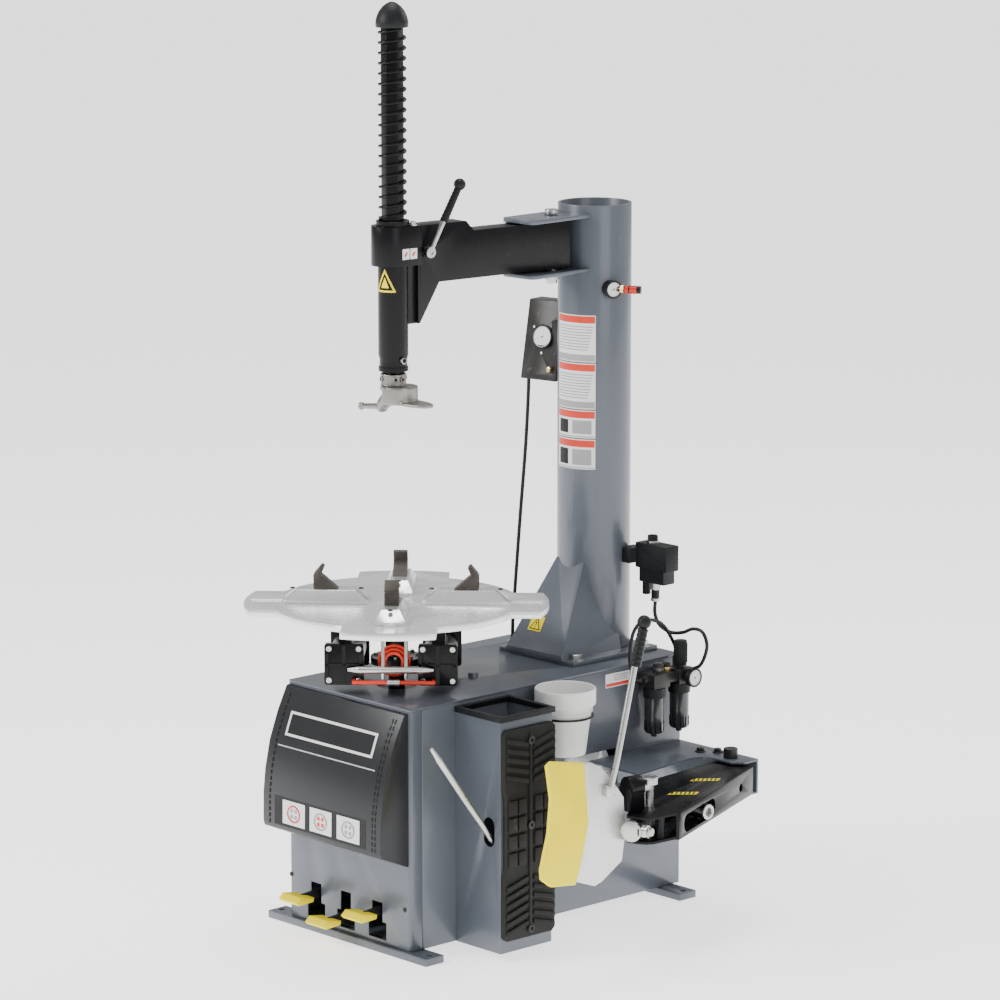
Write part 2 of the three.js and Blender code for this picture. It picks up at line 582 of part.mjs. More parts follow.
function breakerArm() {
  const [px, py] = BREAKER_PIVOT;
  const plan = new THREE.Shape();
  plan.moveTo(px - 24, py).lineTo(372, 602).lineTo(377, 540).lineTo(455, 410).lineTo(484, 350).lineTo(508, 322);
  plan.lineTo(530, 300).lineTo(548, 275).lineTo(556, 272).lineTo(578, 279).lineTo(594, 290).lineTo(600, 302);
  plan.lineTo(...ARM_TIP).lineTo(...ARM_HEEL);
  plan.absarc(px, py, 24, Math.PI * 0.25, Math.PI);
  const run = [ARM_TIP[0] - ARM_HEEL[0], ARM_TIP[1] - ARM_HEEL[1]];
  const length = Math.hypot(...run);
  const angle = THREE.MathUtils.radToDeg(Math.atan2(run[1], run[0]));
  const outer = placed(cut(box(0, length, -2, 6, BREAKER_LOW, BREAKER_HIGH),
    frontways(roundedRect(length * 0.52, length * 0.935, 279, 317, 18.9), -5, 20),
    rod([70, -5, 302], [70, 20, 302], 9, 16)), angle, ...ARM_HEEL);
  const flange = (z0, z1) => prism(plan, z0, z1, 6);
  const hub = disc(BREAKER_PIVOT, 22, BREAKER_LOW, BREAKER_HIGH, 20);
  const spacer = disc([586, 333], 10, BREAKER_LOW + 2, BREAKER_HIGH - 2, 16);
  const skin = join(flange(BREAKER_HIGH - 7, BREAKER_HIGH - 1), flange(BREAKER_LOW + 1, BREAKER_LOW + 7),
    outer, hub, spacer);
  return cut(skin, disc(BREAKER_PIVOT, 10 + GAP, 200, 400, 20), disc(BLADE_PIN, PIN_R + GAP, 200, 400, 20));
}

const breakerCylinder = () => {
  const [y, z] = RAM;
  const x = (a, b, r) => rod([a, y, z], [b, y, z], r, 20);
  const nuts = [[-60, -60], [60, -60], [-60, 60], [60, 60]].map(([dy, dz]) =>
    rod([174, y + dy, z + dz], [184, y + dy, z + dz], 9, 6));
  const shell = join(x(-100, 176, CYLINDER_R), box(SHEET + GAP - CAB_HALF, -98, y - 40, y + 40, z - 40, z + 40), ...nuts);
  return cut(shell, x(-88, 164, CYLINDER_R - 7), x(160, 200, RAM_R + GAP));
};

// Piston, rod and the threaded barrel that shows through the arm's slot.
const ramRod = () => join(rod([40, ...RAM], [64, ...RAM], CYLINDER_R - 7 - GAP, 20), cut(
  join(rod([62, ...RAM], [500, ...RAM], RAM_R, 20), rod([480, ...RAM], [560, ...RAM], 16, 20)),
  rod([535, ...RAM], [565, ...RAM], 10, 6)));

// Blade, guard, yoke and handle share one plane that leans a little: Y runs back, Z up.
const BLADE_TURN = -8.5;
const BLADE_ORIGIN = [537, 284.8];
const BLADE_RISE = 53.4;
const bladePlane = groupAt(...BLADE_ORIGIN, BLADE_RISE, BLADE_TURN);

// Yoke between the arm's flanges: its pin stands up through the arm into the blade's upper bracket.
function bladeYoke() {
  const turn = THREE.MathUtils.degToRad(-BLADE_TURN);
  const [dx, dy] = [BLADE_PIN[0] - BLADE_ORIGIN[0], BLADE_PIN[1] - BLADE_ORIGIN[1]];
  const at = [dx * Math.cos(turn) - dy * Math.sin(turn), dx * Math.sin(turn) + dy * Math.cos(turn)];
  const mid = (BREAKER_LOW + BREAKER_HIGH) / 2 - BLADE_RISE;
  const flangeTop = BREAKER_HIGH - BLADE_RISE;
  const pin = join(disc(at, PIN_R, mid - 42, flangeTop + 58, 20), disc(at, 19, flangeTop + 46, flangeTop + 60, 20),
    disc(at, 17, mid - 42, mid - 32, 6));
  const bracket = join(box(-30, 8, 4, 41, flangeTop + 0.6, flangeTop + 50),
    box(-38, -12, 36, 76, flangeTop + 34, flangeTop + 46),
    rod([-10, 8, flangeTop + 50], [-10, 40, flangeTop + 50], 22, 20));
  const block = rod([...at, mid], [39, -16, mid], 21.8, 20);
  const stud = join(rod([7, -9, mid], [66, 16, mid], 9, 16), rod([47, 8, mid], [60.5, 13.6, mid], 14, 6));
  return join(pin, bracket, block, stud);
}

const bladeOutline = () => outline([[-90, 396], [-62, 379], [-38, 353], [-8, 312], [-4, 235], [-12, 178],
  [-62, 142], [-80, 135], [-150, 160], [-150, 390]]);
const guardOutline = () => outline([[-108, 398], [-97, 271], [-112, 200], [-128, 145], [-190, 150], [-213, 168],
  [-214, 190], [-196, 262], [-190, 332], [-201, 404], [-190, 412]]);

const breakerBlade = () =>
  cut(sideways(bladeOutline(), -3, 3), sideways(guardOutline(), -10, 10), box(-9, 9, -220, -150, 100, 500));

function guideLever() {
  return join(box(3 + GAP, 18, -62, -38, 322, 346), rod([12, -50, 330], [12, -30, 402], 7, 12),
    rod([12, -31, 398], [-10, 28, 586], 7, 12), rod([-10, 27, 582], [-14, 50, 659], 11, 12, 10),
    ball([-15, 54, 667], 14));
}

part('breaker_bracket', breakerBracket(), slate);
part('pivot_bolt', pivotBolt(), blackPaint, groupAt(...BREAKER_PIVOT));
part('breaker_arm', breakerArm(), blackPaint);
part('breaker_cylinder', breakerCylinder(), alloy);
part('ram_rod', ramRod(), zinc);
part('blade_yoke', bladeYoke(), zinc, bladePlane);
part('breaker_blade', breakerBlade(), steel, bladePlane);
part('blade_guard', sideways(guardOutline(), -7, 5), yellow, bladePlane);
part('guide_lever', guideLever(), zinc, bladePlane);

// ---------- compressed air: inflator on the column, valve, treatment unit and hoses
// Gauge box leaning back on the column's left, dial and deflate button on its face.
const GAUGE_BOX = [-155, 638];
const FACE = { low: 1110, high: 1280, lean: 34 };
const faceY = (z) => (FACE.lean * (z - FACE.low)) / (FACE.high - FACE.low);
const gaugeFrame = groupAt(...GAUGE_BOX, 0, 10.7);

function gaugeBox() {
  const side = outline([[0, FACE.low], [FACE.lean, FACE.high], [78, FACE.high], [78, FACE.low]]);
  const dial = rod([48, faceY(1202) + 4, 1201], [48, faceY(1202) - 5, 1203], 22, 20);
  const stop = placed(box(-20, 30, -12, 12, 1170, 1240), -10.7, 95, 22);
  return cut(join(sideways(side, 0, 92), dial, stop),
    rod([77, faceY(1134) + 18, 1130.7], [77, faceY(1134) - 9, 1136.1], 6 + GAP, 16));
}

const inflateButton = () => rod([77, faceY(1134) + 10, 1132.3], [77, faceY(1134) - 10, 1136.3], 6, 16);

const columnSolid = disc(COLUMN, COLUMN_R + GAP, 500, 1600, ROUND);
part('gauge_box', cut(placed(gaugeBox(), 10.7, ...GAUGE_BOX), columnSolid), slateDark);
part('inflate_button', inflateButton(), brass, gaugeFrame);

function columnGauge() {
  const out = [Math.cos(-0.35), Math.sin(-0.35)];
  const at = (s) => [COLUMN[0] + out[0] * s, COLUMN[1] + out[1] * s, 1330];
  return cut(join(rod(at(70), at(100), 18, 20), rod([108, 664, 1330], [128, 676, 1330], 7, 12),
    rod([126, 675, 1330], [158, 694, 1330], 8.5, 12)), columnSolid);
}

function airValve() {
  const block = join(box(120, 214, 720, 758, 720, 775), box(130, 204, 722, 756, 690, 722),
    box(90, 122, 700, 745, 730, 762), rod([153, 740, 774], [153, 740, 792], 12, 6),
    rod([135, 740, 660], [135, 740, 692], 9, 16), rod([162, 740, 648], [162, 740, 692], 9, 16));
  return cut(block, columnSolid);
}

// Filter and lubricator heads on one bracket, dial towards the operator's right.
const BOWLS = [671, 747];
function airTreatment() {
  const x = TREATMENT_X;
  const head = (y) => box(x - 24, x + 24, y - 24, y + 24, 481, 512);
  return join(...BOWLS.map(head), ...BOWLS.map(bowl), box(x - 18, x + 18, BOWLS[0], BOWLS[1], 488, 508),
    box(CAB_HALF + GAP, x - 12, BOWLS[0] + 27, BOWLS[1] - 27, 483, 514),
    rod([x + 12, BOWLS[1], 496], [268, BOWLS[1], 496], 10, 12),
    rod([265, BOWLS[1], 496], [276, BOWLS[1], 496], 20, 16), disc([x, 681], 11, 511, 531, 12),
    disc([x, 709], 8, 507, 527, 6), disc([x, 750], 8, 511, 517, 10),
    rod([x, BOWLS[0] - 22, 500], [x, BOWLS[0] - 36, 500], 9, 12), disc([208, 757], 7, 505, 532, 12));
}

const bowl = (y) => turned([TREATMENT_X, y], [[0, 372], [7, 372], [7, 380], [15, 384], [19, 396], [19, 458],
  [22, 462], [22, 486], [0, 486]], 16);

part('column_gauge', columnGauge(), blackPlastic);
part('air_valve', airValve(), alloy);
part('air_treatment', airTreatment(), alloy);
part('pressure_knob', disc([TREATMENT_X, BOWLS[1] + 3], 14, 517 + GAP, 571, 20), blackPlastic);

// Flexible hoses, ends face to face with their fittings.
const HOSE = 4;
const hoseFront = [[162, 740, 647.7], [163, 738, 622], [175, 738, 600], [205, 742, 586], [240, 746, 590],
  [272, 746, 603], [298, 747, 600], [312, 747, 575], [305, 747, 546], [291, 747, 525], [275.5, 747, 517]];
const hoseRear = [[230, 634.2, 500], [230, 625, 500], [228, 612, 508], [225, 603, 540], [225, 603, 575],
  [225, 612, 608], [225, 632, 626], [225, 660, 628], [222, 690, 619], [216, 716, 602], [211, 740, 575],
  [208, 755, 553], [208, 757, 542],
  [208, 757, 532.8]];
const hoseInflator = [[-140, 648, 1109.4], [-140, 647, 1080], [-140, 640, 975], [-140, 622, 800],
  [-140, 607, 644], [-140, 601, 580], [-140, 600, CAB_TOP + 8 + GAP]];

part('air_hose_front', swept(hoseFront, HOSE, 8, 26), blackPlastic);
part('air_hose_rear', swept(hoseRear, HOSE, 8, 28), blackPlastic);
part('inflator_hose', swept(hoseInflator, HOSE, 8, 24), blackPlastic);

// ---------- origin at the centre of the footprint, on the floor
machine.updateMatrixWorld(true);
const cords = ['air_hose_front', 'air_hose_rear', 'inflator_hose'];
const extent = new THREE.Box3();
machine.traverse((item) => {
  if (item.isMesh && !cords.includes(item.name)) extent.expandByObject(item, true);
});
machine.position.set(-(extent.min.x + extent.max.x) / 2, -(extent.min.y + extent.max.y) / 2, -extent.min.z);

export default machine;
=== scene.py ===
import bpy, bmesh, json, math
from mathutils import Vector, Matrix

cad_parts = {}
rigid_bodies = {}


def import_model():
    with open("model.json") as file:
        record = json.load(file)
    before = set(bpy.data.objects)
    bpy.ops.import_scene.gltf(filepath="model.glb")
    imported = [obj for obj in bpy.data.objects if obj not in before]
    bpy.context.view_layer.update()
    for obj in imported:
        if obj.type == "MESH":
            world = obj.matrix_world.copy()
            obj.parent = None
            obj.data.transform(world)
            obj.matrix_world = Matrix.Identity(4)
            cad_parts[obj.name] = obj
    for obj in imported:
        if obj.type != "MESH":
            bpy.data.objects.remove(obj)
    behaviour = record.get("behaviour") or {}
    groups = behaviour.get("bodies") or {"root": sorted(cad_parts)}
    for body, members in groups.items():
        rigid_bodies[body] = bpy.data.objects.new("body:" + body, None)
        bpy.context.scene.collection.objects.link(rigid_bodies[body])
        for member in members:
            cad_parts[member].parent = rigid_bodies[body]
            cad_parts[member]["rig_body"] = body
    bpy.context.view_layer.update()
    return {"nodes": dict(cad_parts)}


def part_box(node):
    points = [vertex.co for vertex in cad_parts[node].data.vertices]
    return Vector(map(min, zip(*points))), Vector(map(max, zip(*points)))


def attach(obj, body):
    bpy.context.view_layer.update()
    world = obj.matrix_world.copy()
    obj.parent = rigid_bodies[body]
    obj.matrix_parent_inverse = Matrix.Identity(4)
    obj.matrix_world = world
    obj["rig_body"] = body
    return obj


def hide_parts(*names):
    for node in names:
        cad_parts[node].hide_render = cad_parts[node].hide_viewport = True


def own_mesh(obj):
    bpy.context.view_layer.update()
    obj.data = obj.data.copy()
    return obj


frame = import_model()

# Places and sizes are millimetres in the machine's own frame (X to the right from its mid-plane, Y back
# from the cabinet's front face, Z up) until M() turns them into the row frame's metres.
FOOT_CENTRE_Y = 0.014  # metres from the cabinet's front face to the middle of the front foot bar
low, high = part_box("front_foot")
OX, OY = (low[0] + high[0]) / 2, (low[1] + high[1]) / 2 - FOOT_CENTRE_Y

# Axes of the machine, as seen from above unless said otherwise.
TABLE_Y = 136  # the turntable turns about x 0
px, py = -3, 133  # hexagon post
HINGE_X, HINGE_Y = 27, 557
COLUMN_X, COLUMN_Y = 20, 691
BUCKET_X, BUCKET_Y = 263, 374
BOWL_X, BOWL_Y = 230, (671, 747)
BLADE_PIN = (525, 361)
RAM_Y, RAM_Z = 503, 297  # the ram lies along X
RIGHT, BACK, UP = Vector((1, 0, 0)), Vector((0, 1, 0)), Vector((0, 0, 1))


def M(x, y, z):
    """Machine millimetres to the row frame."""
    return Vector((OX + x / 1000, OY + y / 1000, z / 1000))


def link(ob):
    bpy.context.scene.collection.objects.link(ob)
    return ob


def angles(count):
    """Angles that divide a full turn evenly, from 0."""
    return [2 * math.pi * i / count for i in range(count)]


# ---------- camera, fitted to the photograph
cam = link(bpy.data.objects.new("camera", bpy.data.cameras.new("camera")))
cam.data.lens, cam.data.sensor_width = 160.8, 36
cam.data.clip_end = 60
cam.location = M(6842.4, -5937.9, 2681.3)
cam.rotation_euler = (M(317.6, 136.5, 970.8) - cam.location).to_track_quat("-Z", "Y").to_euler()
bpy.context.scene.camera = cam


# ---------- materials
WEAR_FROM, WEAR_TO, WEAR_SCALE = 0.66, 0.74, 45
BUMP_DEPTH = 0.001


def material(name, rgb, rough, vary, blotch, grain, bump, metal=0.0, coat=0.0, spec=0.5, stretch=(1, 1, 1),
             wear=None, alpha=1.0):
    """Blotches vary the colour and roughness, grain is the scale of the bumps, wear is (colour, strength)."""
    m = bpy.data.materials.new(name)
    m.use_nodes = True
    n, l = m.node_tree.nodes, m.node_tree.links
    p = n["Principled BSDF"]
    co = n.new("ShaderNodeTexCoord")
    mp = n.new("ShaderNodeMapping")
    mp.inputs["Scale"].default_value = stretch
    l.new(co.outputs["Object"], mp.inputs["Vector"])

    def noise(scale, detail, vector):
        x = n.new("ShaderNodeTexNoise")
        x.inputs["Scale"].default_value = scale
        x.inputs["Detail"].default_value = detail
        l.new(vector, x.inputs["Vector"])
        return x.outputs["Fac"]

    ramp = n.new("ShaderNodeValToRGB")
    first, last = ramp.color_ramp.elements[0], ramp.color_ramp.elements[1]
    first.position, last.position = 0.3, 0.7
    first.color = [c * (1 - vary) for c in rgb] + [1]
    last.color = [min(1, c * (1 + vary)) for c in rgb] + [1]
    l.new(noise(blotch, 5, co.outputs["Object"]), ramp.inputs["Fac"])
    colour = ramp.outputs["Color"]
    if wear:
        worn_rgb, strength = wear
        pick = n.new("ShaderNodeMapRange")
        pick.inputs["From Min"].default_value, pick.inputs["From Max"].default_value = WEAR_FROM, WEAR_TO
        pick.inputs["To Max"].default_value = strength
        l.new(noise(WEAR_SCALE, 8, co.outputs["Object"]), pick.inputs["Value"])
        mix = n.new("ShaderNodeMix")
        mix.data_type = "RGBA"
        l.new(pick.outputs["Result"], mix.inputs["Factor"])
        l.new(colour, mix.inputs["A"])
        mix.inputs["B"].default_value = (*worn_rgb, 1)
        colour = mix.outputs["Result"]
    l.new(colour, p.inputs["Base Color"])

    spread = n.new("ShaderNodeMapRange")
    spread.inputs["To Min"].default_value = rough * 0.82
    spread.inputs["To Max"].default_value = min(1, rough * 1.2)
    l.new(noise(blotch * 4, 4, mp.outputs["Vector"]), spread.inputs["Value"])
    l.new(spread.outputs["Result"], p.inputs["Roughness"])
    b = n.new("ShaderNodeBump")
    b.inputs["Strength"].default_value = bump
    b.inputs["Distance"].default_value = BUMP_DEPTH
    l.new(noise(grain, 3, mp.outputs["Vector"]), b.inputs["Height"])
    l.new(b.outputs["Normal"], p.inputs["Normal"])
    p.inputs["Metallic"].default_value = metal
    p.inputs["Specular IOR Level"].default_value = spec
    p.inputs["Coat Weight"].default_value = coat
    p.inputs["Coat Roughness"].default_value = 0.12
    p.inputs["Alpha"].default_value = alpha
    return m


MAT = {
    "slate": material("slate paint", (0.09, 0.103, 0.126), 0.34, 0.05, 5, 420, 0.2, metal=0.1, coat=0.3,
                      wear=((0.15, 0.165, 0.19), 0.3)),
    "black": material("black paint", (0.004, 0.004, 0.005), 0.28, 0.15, 8, 380, 0.12, spec=0.18,
                      wear=((0.02, 0.02, 0.02), 0.3)),
    "plastic": material("black plastic", (0.01, 0.011, 0.012), 0.4, 0.1, 9, 2600, 0.22, spec=0.2),
    "sheen": material("moulded cover", (0.015, 0.016, 0.018), 0.3, 0.08, 4, 1800, 0.1, coat=0.05, spec=0.3),
    "rubber": material("rubber", (0.013, 0.013, 0.012), 0.7, 0.2, 12, 1500, 0.5, spec=0.3,
                       wear=((0.05, 0.048, 0.045), 0.5)),
    "zinc": material("zinc", (0.5, 0.51, 0.49), 0.28, 0.1, 20, 1400, 0.12, metal=1, wear=((0.3, 0.3, 0.27), 0.5)),
    "steel": material("cast steel", (0.27, 0.255, 0.235), 0.34, 0.14, 14, 900, 0.22, metal=0.95,
                      wear=((0.14, 0.13, 0.12), 0.5)),
    "blade": material("blade steel", (0.74, 0.74, 0.73), 0.36, 0.05, 6, 700, 0.1, metal=0.5, stretch=(1, 1, 14)),
    "alloy": material("brushed alloy", (0.84, 0.845, 0.85), 0.26, 0.04, 7, 260, 0.14, metal=0.6, stretch=(14, 1, 14),
                      wear=((0.6, 0.6, 0.61), 0.35)),
    "cover": material("jaw cover alloy", (0.86, 0.865, 0.87), 0.2, 0.05, 9, 500, 0.1, metal=0.75,
                      wear=((0.55, 0.55, 0.55), 0.4)),
    "claw": material("hardened claw", (0.085, 0.075, 0.066), 0.42, 0.2, 40, 1600, 0.5, metal=0.8,
                     wear=((0.26, 0.24, 0.21), 0.7)),
    "brass": material("brass", (0.72, 0.53, 0.23), 0.28, 0.1, 25, 1400, 0.1, metal=1),
    "yellow": material("yellow paint", (0.96, 0.78, 0.0), 0.5, 0.04, 8, 500, 0.12, spec=0.12,
                       wear=((0.6, 0.45, 0.01), 0.35)),
    "red": material("red plastic", (0.68, 0.035, 0.015), 0.35, 0.1, 20, 1500, 0.1, coat=0.1, spec=0.3),
    "white": material("white plastic", (0.9, 0.9, 0.89), 0.34, 0.02, 8, 1200, 0.08, coat=0.1,
                      wear=((0.78, 0.77, 0.74), 0.3)),
    "paper": material("label", (0.8, 0.8, 0.79), 0.4, 0.02, 12, 1800, 0.04),
    "ink": material("print grey", (0.32, 0.32, 0.33), 0.5, 0.05, 12, 1800, 0.04),
    "dark": material("dark steel", (0.035, 0.034, 0.033), 0.34, 0.15, 16, 1300, 0.15, metal=0.6, spec=0.35,
                     wear=((0.12, 0.115, 0.11), 0.5)),
    "smoked": material("smoked bowl", (0.028, 0.03, 0.034), 0.2, 0.1, 30, 1200, 0.03, coat=0.3),
    "glass": material("dial glass", (0.95, 0.96, 0.97), 0.08, 0.01, 10, 900, 0.01, spec=0.2, alpha=0.04),
    "hose": material("hose", (0.01, 0.01, 0.011), 0.4, 0.15, 30, 1500, 0.12, spec=0.3),
}


# ---------- mesh helpers
def smooth(me, sharp):
    me.shade_smooth()
    me.set_sharp_from_angle(angle=math.radians(sharp))


def finish_mesh(ob, mat, body, sharp=32, parts=()):
    """Materials (one key or a list of keys), shading, the body it rides and the CAD nodes it replaces."""
    ob.data.materials.clear()
    for key in mat if isinstance(mat, list) else [mat]:
        ob.data.materials.append(MAT[key])
    smooth(ob.data, sharp)
    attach(ob, body)
    if parts:
        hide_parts(*parts)
    return ob


def body_of(node):
    return frame["nodes"][node]["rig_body"]


def apply(ob):
    dep = bpy.context.evaluated_depsgraph_get()
    me = bpy.data.meshes.new_from_object(ob.evaluated_get(dep))
    ob.modifiers.clear()
    ob.data = me
    return ob


def refined(node, mat, width, segments=2, pick=None):
    """A CAD node's own shape with flat faces merged and its edges rounded; pick gives a face's material."""
    me = frame["nodes"][node].data.copy()
    ob = link(bpy.data.objects.new("look_" + node, me))
    bm = bmesh.new()
    bm.from_mesh(me)
    bmesh.ops.remove_doubles(bm, verts=bm.verts, dist=2e-6)
    bmesh.ops.dissolve_limit(bm, angle_limit=math.radians(0.6), verts=bm.verts, edges=bm.edges)
    bm.to_mesh(me)
    bm.free()
    if width:
        mod = ob.modifiers.new("round", "BEVEL")
        mod.width, mod.segments, mod.limit_method = width / 1000, segments, "ANGLE"
        mod.angle_limit = math.radians(28)
        mod.use_clamp_overlap = True
        mod.harden_normals = False
        apply(ob)
    finish_mesh(ob, mat, body_of(node), 32, [node])
    if pick:
        for f in ob.data.polygons:
            f.material_index = pick(f.center)
    return ob


def mesh(name, verts, faces, mat, body, sharp=32, parts=()):
    me = bpy.data.meshes.new(name)
    me.from_pydata([tuple(v) for v in verts], [], faces)
    bm = bmesh.new()
    bm.from_mesh(me)
    bmesh.ops.remove_doubles(bm, verts=bm.verts, dist=1e-6)
    bmesh.ops.recalc_face_normals(bm, faces=bm.faces)
    bm.to_mesh(me)
    bm.free()
    return finish_mesh(link(bpy.data.objects.new(name, me)), mat, body, sharp, parts)


def prism_faces(n):
    """Sides of a solid between two outlines of n points each."""
    return [(i, (i + 1) % n, n + (i + 1) % n, n + i) for i in range(n)]


BOX_FACES = [(0, 1, 2, 3), (4, 5, 6, 7)] + [(0, 1, 5, 4), (1, 2, 6, 5), (2, 3, 7, 6), (3, 0, 4, 7)]


def frame_along(a, b):
    z = (b - a).normalized()
    x = z.orthogonal().normalized()
    return x, z.cross(x), z


def lathe(name, a, b, profile, mat, body, sides=40, sharp=32, parts=()):
    """Profile of (distance from a towards b, radius) turned about the line from a to b."""
    x, y, z = frame_along(a, b)
    verts, faces = [], []
    for s, r in profile:
        for t in angles(sides):
            verts.append(a + z * (s / 1000) + (x * math.cos(t) + y * math.sin(t)) * (max(r, 0.01) / 1000))
    for i in range(len(profile) - 1):
        for k in range(sides):
            j = (k + 1) % sides
            faces.append((i * sides + k, i * sides + j, (i + 1) * sides + j, (i + 1) * sides + k))
    faces.append(tuple(range(sides)))
    faces.append(tuple(range((len(profile) - 1) * sides, len(profile) * sides)))
    return mesh(name, verts, faces, mat, body, sharp, parts)


def turned_block(name, corners, pivot, turn, mat, body, bevel):
    """A box from two corners with rounded edges, turned by an angle about a vertical line."""
    (x0, y0, z0), (x1, y1, z1) = corners
    c = M(*pivot, 0)
    r = Matrix.Rotation(turn, 3, "Z")
    verts = []
    for p in [M(x, y, z) for z in (z0, z1) for y in (y0, y1) for x in (x0, x1)]:
        q = c + r @ Vector((p.x - c.x, p.y - c.y, 0))
        verts.append(Vector((q.x, q.y, p.z)))
    faces = [(0, 2, 3, 1), (4, 5, 7, 6), (0, 1, 5, 4), (2, 6, 7, 3), (0, 4, 6, 2), (1, 3, 7, 5)]
    ob = mesh(name, verts, faces, mat, body)
    mod = ob.modifiers.new("round", "BEVEL")
    mod.width, mod.segments = bevel / 1000, 2
    apply(ob)
    smooth(ob.data, 40)
    return ob


def catmull(points, steps):
    """Points along the centripetal curve that the CAD hoses follow."""
    p = [Vector(q) for q in points]
    ext = [p[0] * 2 - p[1]] + p + [p[-1] * 2 - p[-2]]
    out = []
    per = max(2, steps // (len(p) - 1))
    for i in range(len(p) - 1):
        a, b, c, d = ext[i:i + 4]
        t = [max((v - u).length_squared ** 0.25, 1e-4) for u, v in ((a, b), (b, c), (c, d))]
        m1 = ((b - a) / t[0] - (c - a) / (t[0] + t[1]) + (c - b) / t[1]) * t[1]
        m2 = ((c - b) / t[1] - (d - b) / (t[1] + t[2]) + (d - c) / t[2]) * t[1]
        for k in range(per):
            s = k / per
            h = (2 * s ** 3 - 3 * s * s + 1, s ** 3 - 2 * s * s + s, -2 * s ** 3 + 3 * s * s, s ** 3 - s * s)
            out.append(b * h[0] + m1 * h[1] + c * h[2] + m2 * h[3])
    return out + [p[-1]]


def wire(name, pts, radius, mat, body, sides=10, parts=(), closed=False):
    """A round bar swept along points of the row frame."""
    verts, faces, side = [], [], None
    n = len(pts)
    for i, q in enumerate(pts):
        after = pts[(i + 1) % n if closed else min(i + 1, n - 1)]
        before = pts[i - 1 if closed else max(i - 1, 0)]
        t = (after - before).normalized()
        side = t.orthogonal().normalized() if side is None else (side - t * side.dot(t)).normalized()
        up = t.cross(side)
        verts += [q + (side * math.cos(a) + up * math.sin(a)) * (radius / 1000) for a in angles(sides)]
    for i in range(n if closed else n - 1):
        for k in range(sides):
            j = (k + 1) % sides
            i2 = (i + 1) % n
            faces.append((i * sides + k, i * sides + j, i2 * sides + j, i2 * sides + k))
    if not closed:
        faces.append(tuple(range(sides)))
        faces.append(tuple(range((n - 1) * sides, n * sides)))
    return mesh(name, verts, faces, mat, body, 60, parts)


def arc_patch(name, centre, a0, a1, z0, z1, r, steps, mat, body):
    """A print on a round tube, between two angles in degrees and two heights."""
    verts = []
    for k in range(steps + 1):
        a = math.radians(a0 + (a1 - a0) * k / steps)
        verts += [M(centre[0] + r * math.cos(a), centre[1] + r * math.sin(a), z) for z in (z0, z1)]
    faces = [(2 * k, 2 * k + 2, 2 * k + 3, 2 * k + 1) for k in range(steps)]
    return mesh(name, verts, faces, mat, body, 60)


def patch(name, c, right, up, shape, mat, body, proud):
    """A flat print whose outline is given along right and up from c."""
    n = right.cross(up).normalized()
    pts = [c + (right * u + up * v) / 1000 + n * (proud / 1000) for u, v in shape]
    return mesh(name, pts, [tuple(range(len(pts)))], mat, body)


def rectangle(x0, x1, y0, y1):
    return [(x0, y0), (x1, y0), (x1, y1), (x0, y1)]


def hexbolt(name, c, out, r, h, body, mat="zinc"):
    lathe(name + "_washer", c, c + out * 0.002, [(0, r * 1.45), (1.6, r * 1.45), (2, r * 1.38), (2, r * 0.8)],
          mat, body, 32)
    lathe(name + "_head", c + out * 0.002, c + out * 0.01, [(0, r), (h - 1, r), (h, r * 0.86)], mat, body, 6)


# ---------- hoses
HOSES = {
    "air_hose_front": [(162, 740, 647.7), (163, 738, 622), (175, 738, 600), (205, 742, 586), (240, 746, 590),
                       (272, 746, 603), (298, 747, 600), (312, 747, 575), (305, 747, 546), (291, 747, 525),
                       (275.5, 747, 517)],
    "air_hose_rear": [(230, 634.2, 500), (230, 625, 500), (228, 612, 508), (225, 603, 540), (225, 603, 575),
                      (225, 612, 608), (225, 632, 626), (225, 660, 628), (222, 690, 619), (216, 716, 602),
                      (211, 740, 575), (208, 755, 553), (208, 757, 542), (208, 757, 532.8)],
    "inflator_hose": [(-140, 648, 1109.4), (-140, 647, 1080), (-140, 640, 975), (-140, 622, 800),
                      (-140, 607, 644), (-140, 601, 580), (-140, 600, 539.3)],
}
for name, route in HOSES.items():
    path = catmull([M(*q) for q in route], 130)
    hose = wire("hose_" + name, path, 4, "hose", "root", 14, [name])


# ---------- CAD nodes shown in their own shape: material and edge rounding
OWN_SHAPE = {
    "cabinet_shell": ("slate", 1.5), "front_panel": ("slate", 1.2), "front_foot": ("slate", 1.0),
    "rear_foot": ("slate", 1.0), "tool_box": ("slate", 1.2), "tyre_lever": ("zinc", 0.6), "column": ("slate", 1.2),
    "column_base": ("slate", 1.2), "hinge_bracket": ("slate", 1.2), "hinge_pin": ("zinc", 1.2),
    "swing_arm": ("black", 2.0), "post_housing": ("black", 2.0), "hex_post": ("black", 1.5),
    "turntable_plate": ("alloy", 1.5), "spindle": ("dark", 1.0), "clamp_cylinder_left": ("black", 1.5),
    "clamp_cylinder_right": ("black", 1.5), "link_tube": ("zinc", 1.0), "table_air_line": ("red", 0.5),
    "pedal_axle": ("zinc", 0.5), "gearbox": ("dark", 2.0), "drive_motor": ("slate", 2.0),
    "gearbox_pulley": ("zinc", 1.0), "motor_pulley": ("zinc", 1.0), "drive_belt": ("rubber", 0.6),
    "breaker_bracket": ("slate", 1.0), "pivot_bolt": ("dark", 1.0), "breaker_arm": ("black", 1.2),
    "breaker_cylinder": ("alloy", 1.5), "ram_rod": ("zinc", 0.8), "breaker_blade": ("blade", 1.0),
    "blade_guard": ("yellow", 3.0), "gauge_box": ("dark", 1.5), "inflate_button": ("brass", 0.8),
    "column_gauge": ("plastic", 0.8), "air_valve": ("plastic", 1.5), "pressure_knob": ("plastic", 1.0),
    "top_plate": ("slate", 1.2), "bucket_ring": ("dark", 0), "tool_box_rim": ("plastic", 1.2),
}
